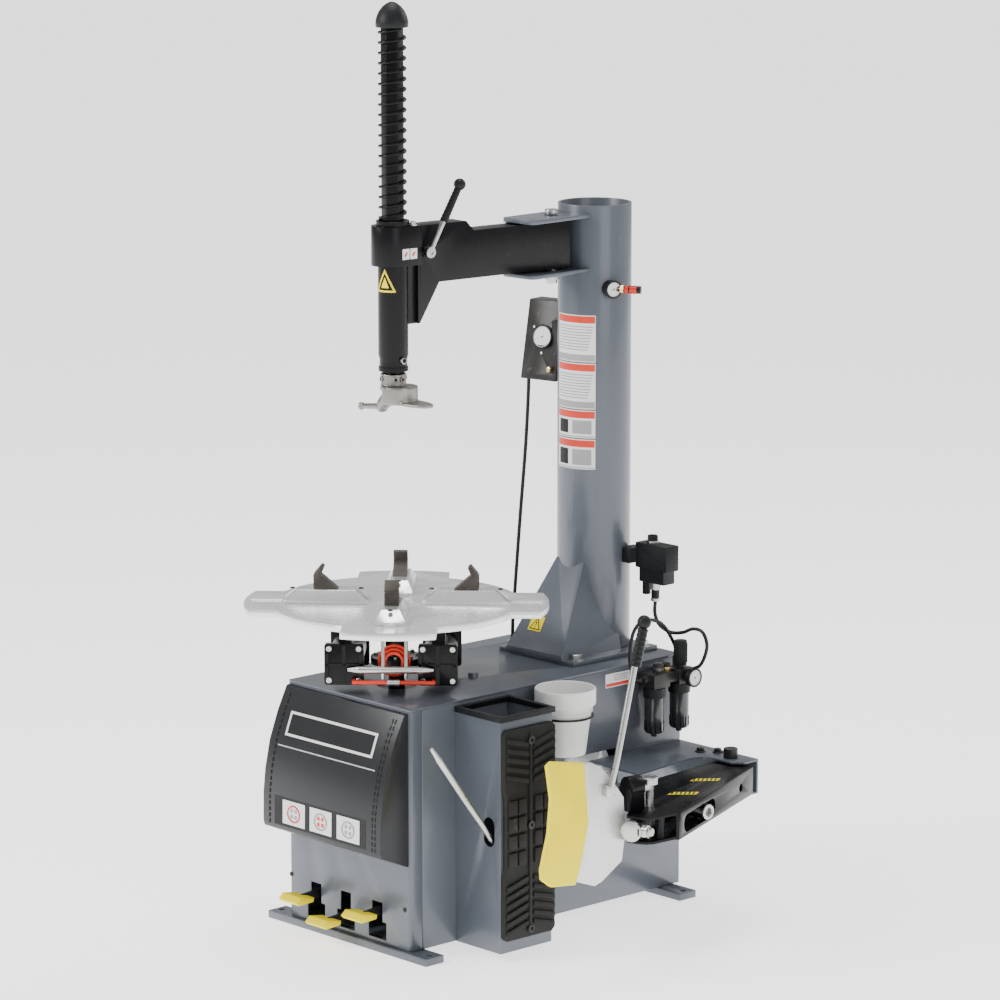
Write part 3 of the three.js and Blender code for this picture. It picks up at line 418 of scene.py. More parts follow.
for node, (mat, width) in OWN_SHAPE.items():
    refined(node, mat, width)

# Two-coloured nodes; their limits are in the row frame's metres.
YOKE_BLOCK_FOOT, PIN_SHAFT_R = 0.3312, 0.0205
JAW_COVER_TOP = 0.7375
TREAD_DEPTH = 0.046
BOWL_TOP, TREATMENT_LEFT = 0.463, OX + 0.2
pin_axis = M(*BLADE_PIN, 0)
refined("blade_yoke", ["zinc", "black"], 1.5,
        pick=lambda c: int(c.z > YOKE_BLOCK_FOOT and (c.xy - pin_axis.xy).length > PIN_SHAFT_R))
for i in range(1, 5):
    refined(f"jaw_{i}", ["cover", "claw"], 1.4, pick=lambda c: int(c.z > JAW_COVER_TOP))
for side in ("left", "middle", "right"):
    node = "pedal_" + side
    tread_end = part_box(node)[0][1] + TREAD_DEPTH
    refined(node, ["yellow", "dark"], 2.0, pick=lambda c: int(c.y >= tread_end))


# ---------- front cover: bulged shell with stitched ribs, label plate and three stickers
# the bulge's outline in y and z, from the top down
COVER_SIDE = [(-0.3, 524), (-9, 522), (-34, 472), (-57, 412), (-70, 352), (-75.5, 302), (-76.5, 240), (-73, 229),
              (-0.3, 197)]


def cover_y(z):
    for (y0, z0), (y1, z1) in zip(COVER_SIDE[1:], COVER_SIDE[2:]):
        if z0 >= z >= z1:
            return y0 + (y1 - y0) * (z - z0) / (z1 - z0)
    return COVER_SIDE[1][0]


def on_cover(name, x0, x1, z0, z1, mat, proud, rows):
    """A thin plate that follows the cover's bulge."""
    sink = 0.5
    verts, faces = [], []
    for i in range(rows + 1):
        z = z0 + (z1 - z0) * i / rows
        y = cover_y(z)
        for x, d in ((x0, proud), (x1, proud), (x1, -sink), (x0, -sink)):
            verts.append(M(x, y - d, z + d * 0.15))
    for i in range(rows):
        for k in range(4):
            j = (k + 1) % 4
            faces.append((i * 4 + k, i * 4 + j, i * 4 + 4 + j, i * 4 + 4 + k))
    faces += [(0, 1, 2, 3), tuple(rows * 4 + k for k in range(4))]
    return mesh(name, verts, faces, mat, "root", 30)


refined("front_cover", "sheen", 5.0, 4)
STITCH_FOOT, STITCH_PITCH, STITCH_LENGTH = 238, 13.2, 8.5
for x0, x1 in ((-168, -165), (158, 161), (167, 170)):
    for k in range(21):
        z = STITCH_FOOT + k * STITCH_PITCH
        on_cover(f"stitch_{int(x0 + 200)}_{k}", x0, x1, z, z + STITCH_LENGTH, "plastic", 1.1, 2)
on_cover("cover_ridge", -158, 150, 405, 407.5, "cover", 0.5, 2)
on_cover("sticker_band", -150, 140, 240, 302, "plastic", 0.4, 8)
on_cover("label_plate", -144, 132, 428, 477, "paper", 0.7, 6)
on_cover("label_field", -138, 126, 433, 472, "plastic", 0.95, 6)
STICKER_Z, DOT_RING, DOT_HALF = 271, 9, 4
for k, (x0, x1) in enumerate(((-123, -52), (-36, 33), (50, 121))):
    on_cover(f"sticker_{k}", x0, x1, 246, 297, "paper", 0.9, 6)
    c = (x0 + x1) / 2
    ring = []
    for a in angles(40):
        z = STICKER_Z + 17 * math.sin(a)
        ring.append(M(c + 19 * math.cos(a), cover_y(z) - 1.3, z))
    wire(f"sticker_mark_{k}", ring, 1.6, "red" if k == 0 else "ink", "root", 6, closed=True)
    for j in range(4):
        a = math.radians(45 + 90 * j)
        x, z = c + DOT_RING * math.cos(a), STICKER_Z + DOT_RING * math.sin(a)
        on_cover(f"sticker_dot_{k}_{j}", x - DOT_HALF, x + DOT_HALF, z - DOT_HALF, z + DOT_HALF,
                 "red" if k == 1 else "ink", 1.2, 2)


# ---------- tyre pad: waisted slab with ribs slanted at both ends and upright between
def extrude_x(name, outline, x0, x1, mat, bevel, parts=()):
    """An outline in y and z drawn out along X, with rounded edges."""
    n = len(outline)
    verts = [M(x, y, z) for x in (x0, x1) for y, z in outline]
    faces = [tuple(range(n)), tuple(range(n, 2 * n))] + prism_faces(n)
    ob = mesh(name, verts, faces, mat, "root", 32, parts)
    mod = ob.modifiers.new("round", "BEVEL")
    mod.width, mod.segments, mod.limit_method = bevel / 1000, 2, "ANGLE"
    apply(ob)
    smooth(ob.data, 32)
    return ob


PAD_OUTLINE = [(126, 52), (134, 44), (261, 44), (269, 52), (269, 178), (263, 200), (263, 345), (269, 367), (269, 484),
               (261, 492), (134, 492), (126, 484), (126, 367), (132, 345), (132, 200), (126, 178)]
PAD_FACE, RIB_TOP = 343, 348.6
RIB_PITCH, RIB_RISE, RIB_HEIGHT = 19, 16, 10
extrude_x("pad_slab", PAD_OUTLINE, 331.4, 343.5, "rubber", 1.5, ["tyre_pad"])
for half, (foot, rows, outward) in enumerate(((56, 6, True), (374, 5, False))):
    for k in range(rows):
        z = foot + k * RIB_PITCH
        for s, (ya, yb) in enumerate(((130, 190), (205, 265))):
            za, zb = (z, z + RIB_RISE) if outward == (s == 0) else (z + RIB_RISE, z)
            extrude_x(f"pad_rib_{half}_{k}_{s}", [(ya, za), (yb, zb), (yb, zb + RIB_HEIGHT), (ya, za + RIB_HEIGHT)],
                      PAD_FACE, RIB_TOP, "rubber", 1.2)
for k in range(4):
    for s, y in enumerate((136, 162, 208, 234)):
        z = 202 + k * 37
        extrude_x(f"pad_bar_{k}_{s}", rectangle(y, y + 22, z, z + 30), PAD_FACE, RIB_TOP, "rubber", 1.2)
extrude_x("pad_spine", rectangle(193, 202, 56, 480), PAD_FACE, 347, "rubber", 1.0)
for z in (464, 284, 62):
    lathe(f"pad_bolt_{z}", M(346, 198, z), M(350, 198, z), [(0, 9), (2.2, 9), (3, 8), (3, 4), (0.8, 3.6)],
          "dark", "root", 24)


# ---------- bucket with a rim band and two beads
lathe("bucket_shell", M(BUCKET_X, BUCKET_Y, 390), M(BUCKET_X, BUCKET_Y, 600),
      [(0, 0.01), (0, 40), (1, 42.6), (3, 43.6), (54, 50), (104, 57), (106, 58), (107, 62.5), (109, 64.4), (111, 65),
       (138, 65), (141, 64.6), (142.6, 63.4), (142.8, 61.4), (141, 60), (134, 59.4), (108, 57), (54, 47.5), (5, 41),
       (4, 0.01)], "white", "bucket", 64, 28, ["bucket"])
BEAD_R = 57
for z in (491, 485):
    ring = [M(BUCKET_X + BEAD_R * math.cos(a), BUCKET_Y + BEAD_R * math.sin(a), z) for a in angles(64)]
    wire(f"bucket_bead_{z}", ring, 1.4, "white", "bucket", 8, closed=True)


# ---------- coil spring round the post, and the post's cap
COIL_TURNS, COIL_STEPS, COIL_R, COIL_FOOT, COIL_HEIGHT = 19, 28, 26.8, 1505.5, 402
coil = []
for i in range(COIL_TURNS * COIL_STEPS + 1):
    a = 2 * math.pi * i / COIL_STEPS
    z = COIL_FOOT + COIL_HEIGHT * i / (COIL_TURNS * COIL_STEPS)
    coil.append(M(px + COIL_R * math.cos(a), py + COIL_R * math.sin(a), z))
spring = wire("coil_spring", coil, 3.2, "black", "swing_arm", 8, ["post_spring"])
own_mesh(spring)
lathe("cap_dome", M(px, py, 1910.5), M(px, py, 2000),
      [(0, 31), (0, 33), (1.5, 34), (12, 34), (22, 31.5), (33, 26.5), (42, 19.5), (48, 12), (51.5, 5), (52.3, 0.01)],
      "plastic", "post", 48, 40, ["post_cap"])


# ---------- mount head: the CAD shape softened like a casting, with collar screws
def cast(node, mat, voxel, rounds):
    me = frame["nodes"][node].data.copy()
    ob = link(bpy.data.objects.new("cast_" + node, me))
    remesh = ob.modifiers.new("remesh", "REMESH")
    remesh.mode, remesh.voxel_size = "VOXEL", voxel / 1000
    soften = ob.modifiers.new("soften", "SMOOTH")
    soften.factor, soften.iterations = 0.5, rounds
    apply(ob)
    return finish_mesh(ob, mat, body_of(node), 60, [node])


cast("mount_head", "steel", 1.5, 8)
COLLAR_Z = 1184


def round_collar(a, r):
    return M(px + r * math.cos(math.radians(a)), py + r * math.sin(math.radians(a)), COLLAR_Z)


for a in (-106, -32, 0.6, 75, 150):
    lathe(f"collar_screw_{int(a)}", round_collar(a, 24), round_collar(a, 31),
          [(0, 6), (4.6, 6), (5.4, 5.2), (5.4, 3.6), (2, 3.4)], "steel", "post", 24)
    # painted shade: a black hexagon fills each screw's socket recess and stands the darkness of its shaded inside
    lathe(f"collar_socket_shade_{int(a)}", round_collar(a, 26), round_collar(a, 30), [(0, 3.5), (3, 3.5)], "black", "post", 6)


# ---------- lock lever and bead breaker handle
ARM_REACH = math.hypot(px - HINGE_X, HINGE_Y - py)
ARM = math.atan2(px - HINGE_X, HINGE_Y - py)
BLADE_X, BLADE_Y, BLADE_Z, BLADE_TURN = 537, 284.8, 53.4, math.radians(-8.5)


def turned(x, y, turn):
    return x * math.cos(turn) - y * math.sin(turn), x * math.sin(turn) + y * math.cos(turn)


def arm_point(x, y, z):
    """From the hinge; the arm reaches towards -y."""
    u, v = turned(x, y, ARM)
    return M(HINGE_X + u, HINGE_Y + v, z)


def blade_point(x, y, z):
    """In the blade's own plane, turned with it."""
    u, v = turned(x, y, BLADE_TURN)
    return M(BLADE_X + u, BLADE_Y + v, z + BLADE_Z)


LOCK_X, LOCK_Y, LOCK_Z = 33, 63 - ARM_REACH, 1446


def lock_rod(s):
    """A point of the lock lever's rod, s from its hub."""
    return arm_point(LOCK_X + 11, LOCK_Y + 0.503 * s, LOCK_Z + 0.865 * s)


def grip(name, a, b, r0, r1, rings, body):
    """A ribbed grip that tapers from r0 to r1."""
    n = (b - a).length * 1000
    profile = [(0, r0 * 0.8)]
    for k in range(rings):
        s, pitch = n * k / rings, n / rings
        r = r0 + (r1 - r0) * k / rings
        profile += [(s + pitch * share, r * swell)
                    for share, swell in ((0.1, 0.93), (0.3, 1), (0.7, 1), (0.92, 0.93))]
    return lathe(name, a, b, profile + [(n, r1 * 0.85)], "plastic", body, 28, 30)


def knob_ball(name, c, along, r, body):
    steps = 14
    profile = [(r - r * math.cos(math.pi * k / steps), r * math.sin(math.pi * k / steps)) for k in range(steps + 1)]
    return lathe(name, c - along * (r / 1000), c + along * (r / 1000), profile, "plastic", body, 32, 60)


lathe("lock_rod", lock_rod(-2), lock_rod(80), [(0, 5), (2, 5.4), (78, 5.2), (82, 5.2)], "zinc", "lock_lever", 24)
lathe("lock_hub", arm_point(LOCK_X + 0.3, LOCK_Y, LOCK_Z), arm_point(LOCK_X + 17, LOCK_Y, LOCK_Z),
      [(0, 10.5), (0.8, 12), (15.5, 12), (16.7, 10.6), (16.7, 5), (14, 4.4)],
      "zinc", "lock_lever", 36, 32, ["lock_lever"])
grip("lock_grip", lock_rod(70), lock_rod(146), 8.6, 7.6, 9, "lock_lever")
knob_ball("lock_ball", lock_rod(156), (lock_rod(100) - lock_rod(0)).normalized(), 12.6, "lock_lever")

HANDLE_ROUTE = ((12, -50, 324), (12, -47, 340), (12, -33, 394), (10, -25, 422), (-9, 25, 577), (-10.3, 29, 592))
grip_foot, grip_head = blade_point(-10, 28, 578), blade_point(-14, 51, 655)
wire("handle_rod", catmull([blade_point(*q) for q in HANDLE_ROUTE], 40), 6.6, "zinc", "blade", 20, ["guide_lever"])
turned_block("handle_lug", ((540.3, 222.8, 375.4), (555, 246.8, 399.4)), (BLADE_X, BLADE_Y), BLADE_TURN,
             "zinc", "blade", 1.5)
grip("handle_grip", grip_foot, grip_head, 11.8, 10.8, 8, "blade")
knob_ball("handle_ball", blade_point(-15, 54, 667), (grip_head - grip_foot).normalized(), 14.6, "blade")


# ---------- dials, with plain ticks and no lettering
def dial(name, c, out, r):
    """A bezel, face, ticks, needle and glass of radius r about c, facing out."""
    side = UP.cross(out).normalized()
    top = out.cross(side)

    def at(u, v, w):
        return c + (side * u + top * v + out * w) / 1000

    lathe(name + "_bezel", c - out * 0.004, c + out * 0.004,
          [(0, r), (5.5, r), (6.4, r - 0.6), (6.8, r - 1.8), (6.4, r - 4.2), (4.6, r - 4.4)], "plastic", "root", 40)
    lathe(name + "_face", c, c + out * 0.001, [(0, r - 3), (0.8, r - 3)], "paper", "root", 40)
    foot, head, half = r - 7.2, r - 5.2, 0.3
    for k in range(11):
        a = math.radians(225 - 27 * k)
        u, v = math.cos(a), math.sin(a)
        tick = [at(u * s - v * w, v * s + u * w, 0.95)
                for s, w in ((foot, half), (foot, -half), (head, -half), (head, half))]
        mesh(f"{name}_tick_{k}", tick, [(0, 1, 2, 3)], "ink", "root")
    a = math.radians(200)
    u, v = math.cos(a), math.sin(a)
    needle = [at(-u * 4 - v * 0.6, -v * 4 + u * 0.6, 1.3), at(-u * 4 + v * 0.6, -v * 4 - u * 0.6, 1.3),
              at(u * (r - 4.5), v * (r - 4.5), 1.3)]
    mesh(name + "_needle", needle, [(0, 1, 2)], "ink", "root")
    lathe(name + "_pin", at(0, 0, 0.8), at(0, 0, 2.4), [(0, 1.7), (1.2, 1.7), (1.5, 1.2)], "dark", "root", 16)
    lathe(name + "_glass", at(0, 0, 2.6), at(0, 0, 3.1), [(0, r - 3.2), (0.4, r - 3.2)], "glass", "root", 40)


GAUGE_TURN = math.radians(10.7)
DIAL_X, DIAL_Z = 48, 1202


def gauge_point(x, y, z):
    u, v = turned(x, y, GAUGE_TURN)
    return M(-155 + u, 638 + v, z)


def on_gauge_front(x, z, proud=0.0):
    """A point of the gauge box's sloping front face, or proud of it."""
    return gauge_point(x, 0.2 * (z - 1110) - proud, z)


front_out = (gauge_point(0, -1, 0.2) - gauge_point(0, 0, 0)).normalized()
dial("inflator_dial", on_gauge_front(DIAL_X, DIAL_Z, 4.6) + UP * 0.0009, front_out, 27)
for k, (dx, dz) in enumerate(((-27, 20), (27, 20), (0, -34))):
    c = on_gauge_front(DIAL_X + dx, DIAL_Z + dz)
    lathe(f"dial_screw_{k}", c, c + front_out * 0.003, [(0, 3.4), (1.6, 3.2), (2.4, 1.8), (2.5, 0.01)],
          "zinc", "root", 18)
column_out = Vector((math.cos(-0.35), math.sin(-0.35), 0)).normalized()
dial("column_dial", M(COLUMN_X + column_out.x * 100, COLUMN_Y + column_out.y * 100, 1330), column_out, 19.5)
dial("treatment_dial", M(276.2, 747, 496), RIGHT, 21)
lathe("coupler_brass", M(108, 664, 1330), M(132, 678.4, 1330),
      [(0, 7), (14, 7), (14.2, 9), (22, 9), (22.2, 6.4), (27, 6.4)], "brass", "root", 6)
lathe("coupler_red", M(128, 676, 1330), M(160, 695.2, 1330),
      [(0, 7.4), (1, 9), (8, 9), (9, 8), (11, 8), (12, 9), (26, 9), (27.4, 7.8), (31, 7.4), (31, 4)], "red", "root", 28)


# ---------- air treatment: dark heads, smoked bowls with ribs, and the valve on the column
refined("air_treatment", ["dark", "smoked"], 1.2, pick=lambda c: int(c.z < BOWL_TOP and c.x > TREATMENT_LEFT))
for y in BOWL_Y:
    lathe(f"bowl_{y}", M(BOWL_X, y, 371), M(BOWL_X, y, 480),
          [(0, 5), (1, 6.8), (8, 7.2), (8.6, 17), (10, 19), (13, 20.4), (50, 20.8), (86, 21.2), (89, 22.4),
           (108, 22.6)], "smoked", "root", 40)
    for k, a in enumerate(angles(10)):
        rib_x, rib_y = BOWL_X + 20.3 * math.cos(a), y + 20.3 * math.sin(a)
        lathe(f"bowl_rib_{y}_{k}", M(rib_x, rib_y, 383), M(rib_x, rib_y, 407),
              [(0, 0.6), (2, 1.7), (22, 1.7), (24, 0.6)], "black", "root", 8)
    lathe(f"bowl_collar_{y}", M(BOWL_X, y, 458), M(BOWL_X, y, 482), [(0, 22.8), (1, 24), (21, 24), (22, 23)],
          "plastic", "root", 40)
lathe("sight_dome", M(BOWL_X, 681, 511), M(BOWL_X, 681, 535),
      [(0, 12), (10, 12), (11, 10.6), (18, 9), (20, 5), (20.4, 0.01)], "smoked", "root", 28)
lathe("treatment_plug", M(BOWL_X, 709, 507), M(BOWL_X, 709, 530), [(0, 9), (12, 9), (12.4, 6), (19, 6), (20, 4.6)],
      "brass", "root", 6)
for k, a in enumerate(angles(18)):
    q = M(BOWL_X + 14 * math.cos(a), 750 + 14 * math.sin(a), 522)
    lathe(f"knob_rib_{k}", q, q + Vector((0, 0, 0.044)), [(0, 0.6), (3, 1.2), (41, 1.2), (44, 0.5)],
          "plastic", "pressure_knob", 8)
lathe("valve_cap", M(153, 740, 775), M(153, 740, 800), [(0, 14), (5, 14), (5.5, 10), (15, 10), (17, 8)],
      "zinc", "root", 6)
lathe("valve_nozzle", M(162, 740, 690), M(162, 740, 648), [(0, 11), (16, 11), (17, 8.4), (34, 8.4), (36, 10), (41, 10)],
      "zinc", "root", 28)


# ---------- column decals: blank panels with a coloured head and plain bars
PANEL_R, PRINT_R, DECAL_STEPS = 79.75, 79.95, 10
LINE_PITCH, LINE_HEIGHT = 6.2, 2.2


def on_column(name, a0, a1, z0, z1, mat, r=PRINT_R):
    return arc_patch(name, (COLUMN_X, COLUMN_Y), a0, a1, z0, z1, r, DECAL_STEPS, mat, "root")


for k, (z0, z1) in enumerate(((1171, 1272), (1069, 1168), (1006, 1066), (938, 1003))):
    tall = k < 2
    on_column(f"decal_{k}", -114, -42, z0, z1, "paper", PANEL_R)
    on_column(f"decal_head_{k}", -113, -43, z1 - 17, z1 - 2, "red")
    on_column(f"decal_foot_{k}", -113, -43, z0 + 2, z0 + (16 if tall else 4), "ink")
    if tall:
        for row in range(9):
            z = z1 - 26 - row * LINE_PITCH
            on_column(f"decal_line_{k}_{row}", -111, -46 - (row * 37 % 9), z, z + LINE_HEIGHT, "ink")
    else:
        for side, (a0, a1, mat) in enumerate(((-109, -88, "plastic"), (-80, -48, "ink"))):
            on_column(f"decal_box_{k}_{side}", a0, a1, z0 + 9, z1 - 22, mat)


# ---------- hazard triangle on the gusset, small stickers on the post's housing
def warning(name, c, right, up, size, body):
    def triangle(s, shift=0):
        return [(-s, -s * 0.62 + shift), (s, -s * 0.62 + shift), (0, s * 1.1 + shift)]

    bar = [(-size * 0.08, -size * 0.05), (size * 0.08, -size * 0.05), (size * 0.12, size * 0.42),
           (-size * 0.12, size * 0.42)]
    for part, shape, mat, proud in (
            ("edge", rectangle(-size * 1.15, size * 1.15, -size * 0.8, size * 1.2), "yellow", 0.25),
            ("black", triangle(size), "plastic", 0.45),
            ("yellow", triangle(size * 0.74, -size * 0.02), "yellow", 0.6),
            ("bar", bar, "plastic", 0.75),
            ("dot", rectangle(-size * 0.09, size * 0.09, -size * 0.32, -size * 0.16), "plastic", 0.75)):
        patch(f"{name}_{part}", c, right, up, shape, mat, body, proud)


gusset_up = (M(0, 620, 735) - M(0, 524, 565)).normalized()
warning("gusset_warning", M(-4, 542, 598), RIGHT, gusset_up, 17, "root")
arm_side = Vector((-math.sin(ARM), math.cos(ARM), 0))
for k in range(2):
    c = arm_point(39, -ARM_REACH + 4 + k * 20, LOCK_Z)
    patch(f"housing_sticker_{k}", c, arm_side, UP, rectangle(-9, 9, -11, 11), "paper", "swing_arm", 0.3)
    patch(f"housing_mark_{k}", c, arm_side, UP, [(-5, -3), (2, 5), (5, 2), (-2, -6)], "red", "swing_arm", 0.55)


# ---------- post guide with its own hazard triangle, built from rows of narrowing bands
lathe("guide_skin", M(px, py, 1199.8), M(px, py, 1422),
      [(0, 26), (0, 30.4), (0.8, 31.2), (9, 31.2), (9.4, 29), (26, 29), (34, 31.4), (221, 31.4), (221, 30)],
      "black", "swing_arm", 56)
GUIDE_MIDDLE, GUIDE_ROWS = -74, 12
for name, mat, r, z0, z1, wide in (("edge", "yellow", 31.65, 1367, 1415, 44), ("field", "black", 31.8, 1371, 1407, 33),
                                   ("mark", "yellow", 31.95, 1376, 1398, 17)):
    for k in range(GUIDE_ROWS):
        w = wide * (1 - (k + 0.5) / GUIDE_ROWS)
        arc_patch(f"guide_{name}_{k}", (px, py), GUIDE_MIDDLE - w, GUIDE_MIDDLE + w, z0 + (z1 - z0) * k / GUIDE_ROWS,
                  z0 + (z1 - z0) * (k + 1) / GUIDE_ROWS, r, 8, mat, "swing_arm")
lathe("guide_knob", arm_point(28, -ARM_REACH, 1224), arm_point(44, -ARM_REACH, 1224),
      [(0, 5), (3, 5), (3.2, 6.6), (9, 6.6), (9.6, 5)], "zinc", "swing_arm", 20)
lathe("post_collar", M(px, py, 1503.2), M(px, py, 1516), [(0, 35), (9, 35), (10.6, 33.6), (10.6, 30.6), (1, 30.4)],
      "black", "swing_arm", 48)


# ---------- screws, bolts and nuts
for x, z in ((-187, 107), (175, 104)):
    c = M(x, 0, z)
    lathe(f"panel_screw_{x}", c, c - BACK * 0.004, [(0, 5), (1.2, 5), (2.6, 3.5), (3, 1.5), (2.2, 1.25)],
          "dark", "root", 22, 40)
for k, (x, y) in enumerate(((-79, 545), (119, 545), (-79, 745), (119, 745))):
    hexbolt(f"base_bolt_{k}", M(x, y, 540.4), UP, 12, 11, "root")
for k, x in enumerate((-30, 30)):
    hexbolt(f"housing_bolt_{k}", arm_point(x, -ARM_REACH + 30, 1503.2), UP, 6, 7, "swing_arm")
lathe("pivot_head", M(380, 753, 338.4), M(380, 753, 362),
      [(0, 14), (0.6, 15.4), (19, 15.4), (20, 14.6), (20, 8.4), (12, 8)], "dark", "root", 40)
lathe("yoke_cap", M(*BLADE_PIN, 376.5), M(*BLADE_PIN, 400),
      [(0, 17), (0.6, 19.4), (4.4, 19.4), (5, 17.6), (6.4, 17.6), (7, 19.4), (9.6, 19.4), (10.2, 17.6), (11, 17.6),
       (11.6, 19.4), (13.6, 19.2), (14.8, 17.4), (14.8, 13), (14, 12.6)], "zinc", "blade", 48)
STUD_Z = 248.1
lathe("yoke_washer", blade_point(44, 6.4, STUD_Z), blade_point(66, 16, STUD_Z),
      [(0, 16), (0.6, 17.4), (3, 17.4), (3.6, 16)], "dark", "blade", 36)
lathe("yoke_nut", blade_point(47.4, 8.1, STUD_Z), blade_point(66, 16, STUD_Z), [(0, 14.4), (11, 14.4), (12.6, 13)],
      "zinc", "blade", 6)
lathe("yoke_stud", blade_point(58, 12.6, STUD_Z), blade_point(70, 17.6, STUD_Z),
      [(0, 9), (9.6, 9), (10.8, 7.6), (10.8, 0.01)], "zinc", "blade", 28)
lathe("ram_barrel", M(478, RAM_Y, RAM_Z), M(561, RAM_Y, RAM_Z),
      [(0, 15), (1, 16.4), (81, 16.4), (82.6, 15), (82.6, 11.2), (70, 10.8)], "zinc", "ram", 12)
for z in (355, 344):
    lathe(f"tie_rod_nut_{z}", M(183, RAM_Y - 60, z), M(196, RAM_Y - 60, z), [(0, 8), (8, 8), (9, 6)], "zinc", "root", 6)
hexbolt("bracket_bolt_0", M(300, 742, 338.2), UP, 8, 7, "root", "dark")
hexbolt("bracket_bolt_1", M(330, 765, 338.2), UP, 8, 7, "root", "dark")


# ---------- below the turntable: end plates with screws and ribs, red coil, air tee and union
CLAMP_TURN = math.radians(-45)
END_FACE, END_PROUD = 100.2, 3
END_RIBS = ((-38, 38, 593, 599), (-4, 4, 556, 637), (-38, -32, 573, 620), (32, 38, 573, 620))
clamp_along = Vector((math.cos(CLAMP_TURN), math.sin(CLAMP_TURN), 0))
clamp_across = Vector((-clamp_along.y, clamp_along.x, 0))


def clamp_point(x, y, z):
    """From the turntable's axis, turned with the clamp cylinders."""
    u, v = turned(x, y, CLAMP_TURN)
    return M(u, TABLE_Y + v, z)


for end in (-1, 1):
    for yc in (-104, 91):
        for dy in (-31, 31):
            for z in (563, 630):
                c = clamp_point(END_FACE * end, yc + dy, z)
                inner, outer = c - clamp_along * (end * 0.0005), c + clamp_along * (end * 0.004)
                lathe(f"end_screw_{end}_{yc}_{dy}_{z}", inner, outer,
                      [(0, 6), (3.2, 6), (4, 5.2), (4, 3), (2.4, 2.8)], "zinc", "turntable", 20)
        for k, (y0, y1, z0, z1) in enumerate(END_RIBS):
            p = [clamp_point(END_FACE * end + out * end, yc + y, z)
                 for out in (0, END_PROUD) for y, z in rectangle(y0, y1, z0, z1)]
            mesh(f"end_rib_{end}_{yc}_{k}", p, BOX_FACES, "black", "turntable")
for k in range(3):
    centre = clamp_point(86 + 8 * k, 0, 603)
    radius = 0.031 - 0.006 * k
    ring = [centre + (clamp_across * math.cos(a) + UP * math.sin(a)) * radius for a in angles(48)]
    wire(f"red_coil_{k}", ring, 3.6, "red", "turntable", 10, closed=True)
lathe("air_tee", clamp_point(114, -13, 562), clamp_point(114, 13, 562),
      [(0, 6.4), (1, 7.2), (7, 7.2), (7.4, 6.6), (19, 6.6), (19.4, 7.2), (25, 7.2), (26, 6.4)], "zinc", "turntable", 24)
lathe("union_body", M(0, TABLE_Y, 558), M(0, TABLE_Y, 600),
      [(0, 31), (11, 31), (12, 26), (20, 26), (21, 55), (36, 55), (37, 50)], "dark", "turntable", 48)
for a in range(0, 360, 45):
    c = M(44 * math.cos(math.radians(a)), TABLE_Y + 44 * math.sin(math.radians(a)), 595)
    lathe(f"flange_screw_{a}", c, c + UP * 0.006, [(0, 4.5), (4, 4.5), (5, 3.6)], "zinc", "turntable", 16)
lathe("table_boss", M(0, TABLE_Y, 709.8), M(0, TABLE_Y, 716),
      [(0, 26), (1.4, 26), (2.2, 25), (2.2, 9), (3.8, 8.4), (4.2, 0.01)], "cover", "turntable", 48)


# ---------- jaw detail: screws on the covers, knurled claws
KNURL_FOOT, KNURL_PITCH, KNURL_HEIGHT, KNURL_HALF = 741, 3.1, 1.6, 14


def jaw_point(q, along, across, z):
    r = math.radians(45 + 90 * q)
    x, y = Vector((math.cos(r), math.sin(r), 0)), Vector((-math.sin(r), math.cos(r), 0))
    return M(0, TABLE_Y, z) + x * (along / 1000) + y * (across / 1000)


for q in range(4):
    body = f"jaw_{q + 1}"
    for s in (74, 218):
        lathe(f"jaw_screw_{q}_{s}", jaw_point(q, s, 0, 737.2), jaw_point(q, s, 0, 741),
              [(0, 5.5), (1.6, 5.5), (2.2, 4.6), (2.2, 2.8), (1, 2.6)], "dark", body, 20)
    for k in range(9):
        z = KNURL_FOOT + k * KNURL_PITCH
        p = [jaw_point(q, s, w, h) for s in (172, 173.3)
             for w, h in rectangle(-KNURL_HALF, KNURL_HALF, z, z + KNURL_HEIGHT)]
        mesh(f"jaw_knurl_{q}_{k}", p, BOX_FACES, "claw", body)


# ---------- tool box rim teeth
TOOTH_PITCH = 7.7
for k in range(17):
    y = 134 + k * TOOTH_PITCH
    p = [M(x, yy, z) for x in (203, 206.5) for yy, z in ((y, 511), (y + 4, 511), (y + 2, 520.5))]
    mesh(f"rim_tooth_{k}", p, [(0, 1, 2), (3, 4, 5)] + prism_faces(3), "plastic", "root")


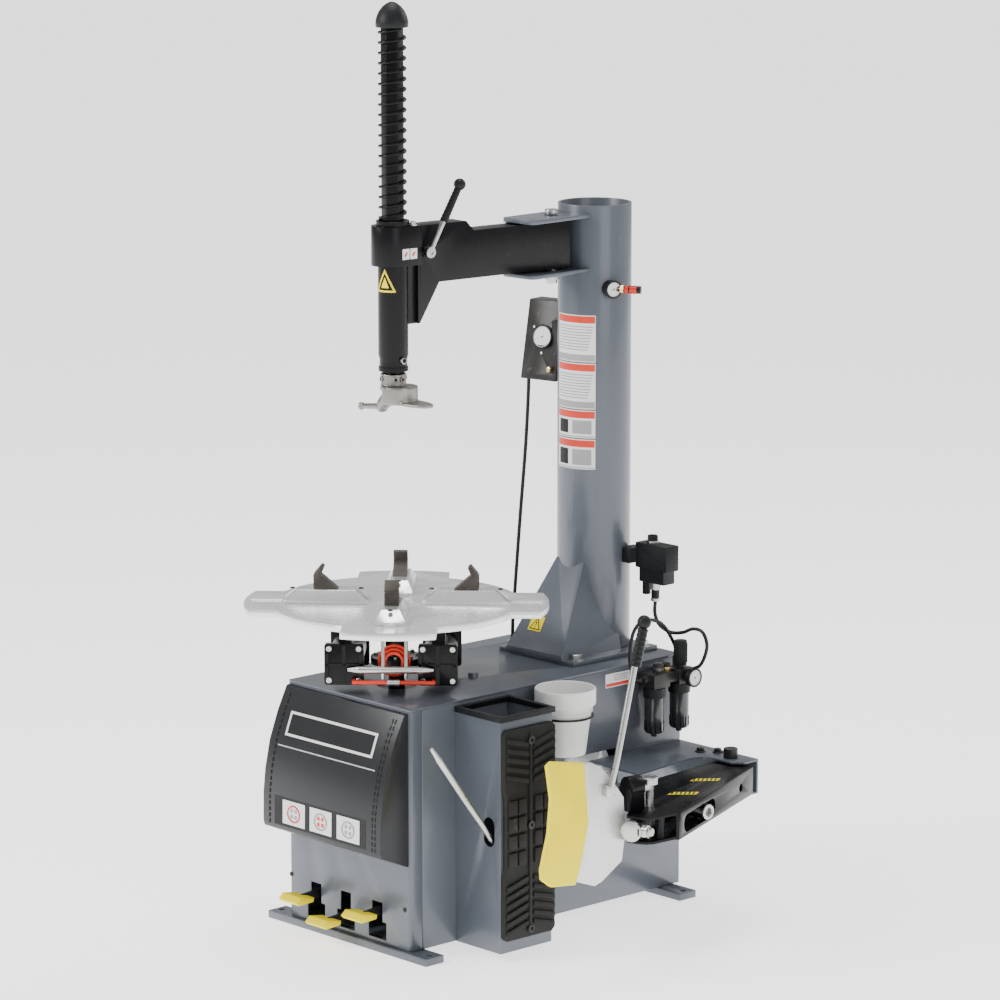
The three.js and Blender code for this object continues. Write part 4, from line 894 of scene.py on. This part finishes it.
# ---------- stickers on the bead breaker arm and the cabinet's side wall
along, across = Vector((0.66, 0.75, 0)), Vector((-0.75, 0.66, 0))
for k, (x, y) in enumerate(((505, 483), (457, 597))):
    c = M(x, y, 330.2)
    patch(f"arm_sticker_{k}", c, along, across, [(-34, -10), (26, -10), (34, 10), (-20, 10)],
          "yellow", "breaker_arm", 0.3)
    for s in range(6):
        patch(f"arm_stripe_{k}_{s}", c + along * (0.009 * s - 0.024), along, across,
              [(-3, -8), (1, -8), (5, 8), (1, 8)], "plastic", "breaker_arm", 0.6)
WALL_X = 194
patch("wall_sticker", M(WALL_X, 595, 503), BACK, UP, rectangle(-36, 36, -15, 15), "paper", "root", 0.3)
patch("wall_sticker_foot", M(WALL_X, 595, 494), BACK, UP, rectangle(-34, 34, -4, 3), "red", "root", 0.5)
for k in range(3):
    patch(f"wall_sticker_line_{k}", M(WALL_X, 603, 513 - 5 * k), BACK, UP, rectangle(-20, 22, -1, 1),
          "ink", "root", 0.5)


# ---------- studio, in metres: pale floor, four soft lights, white surroundings
FLOOR_HALF, FLOOR_Z, FLOOR_GLOW = 30, -0.0005, 1.5
LIGHTS = (("key", (-2.2, -4.2, 3.6), 1.8, 205), ("fill", (4.6, -0.6, 2.4), 2.6, 45),
          ("back", (0.5, 4.5, 3.6), 2.4, 70), ("top", (-0.4, 0.2, 5.0), 2.4, 120))
AIM = Vector((0, 0, 0.9))
floor_me = bpy.data.meshes.new("floor")
corners = rectangle(-FLOOR_HALF, FLOOR_HALF, -FLOOR_HALF, FLOOR_HALF)
floor_me.from_pydata([(x, y, FLOOR_Z) for x, y in corners], [], [(0, 1, 2, 3)])
floor = link(bpy.data.objects.new("floor", floor_me))
floor_mat = material("floor", (0.93, 0.93, 0.93), 0.7, 0.005, 2, 200, 0.01)
floor_shader = floor_mat.node_tree.nodes["Principled BSDF"]
floor_shader.inputs["Emission Color"].default_value = (1, 1, 1, 1)
floor_shader.inputs["Emission Strength"].default_value = FLOOR_GLOW
floor_me.materials.append(floor_mat)
for name, place, size, power in LIGHTS:
    light = bpy.data.lights.new(name, "AREA")
    light.size, light.energy = size, power
    ob = link(bpy.data.objects.new(name, light))
    ob.location = place
    ob.rotation_euler = (AIM - Vector(place)).to_track_quat("-Z", "Y").to_euler()
world = bpy.data.worlds.new("studio")
bpy.context.scene.world = world
world.use_nodes = True
background = world.node_tree.nodes["Background"]
background.inputs["Color"].default_value = (1, 1, 1, 1)
background.inputs["Strength"].default_value = 0.55
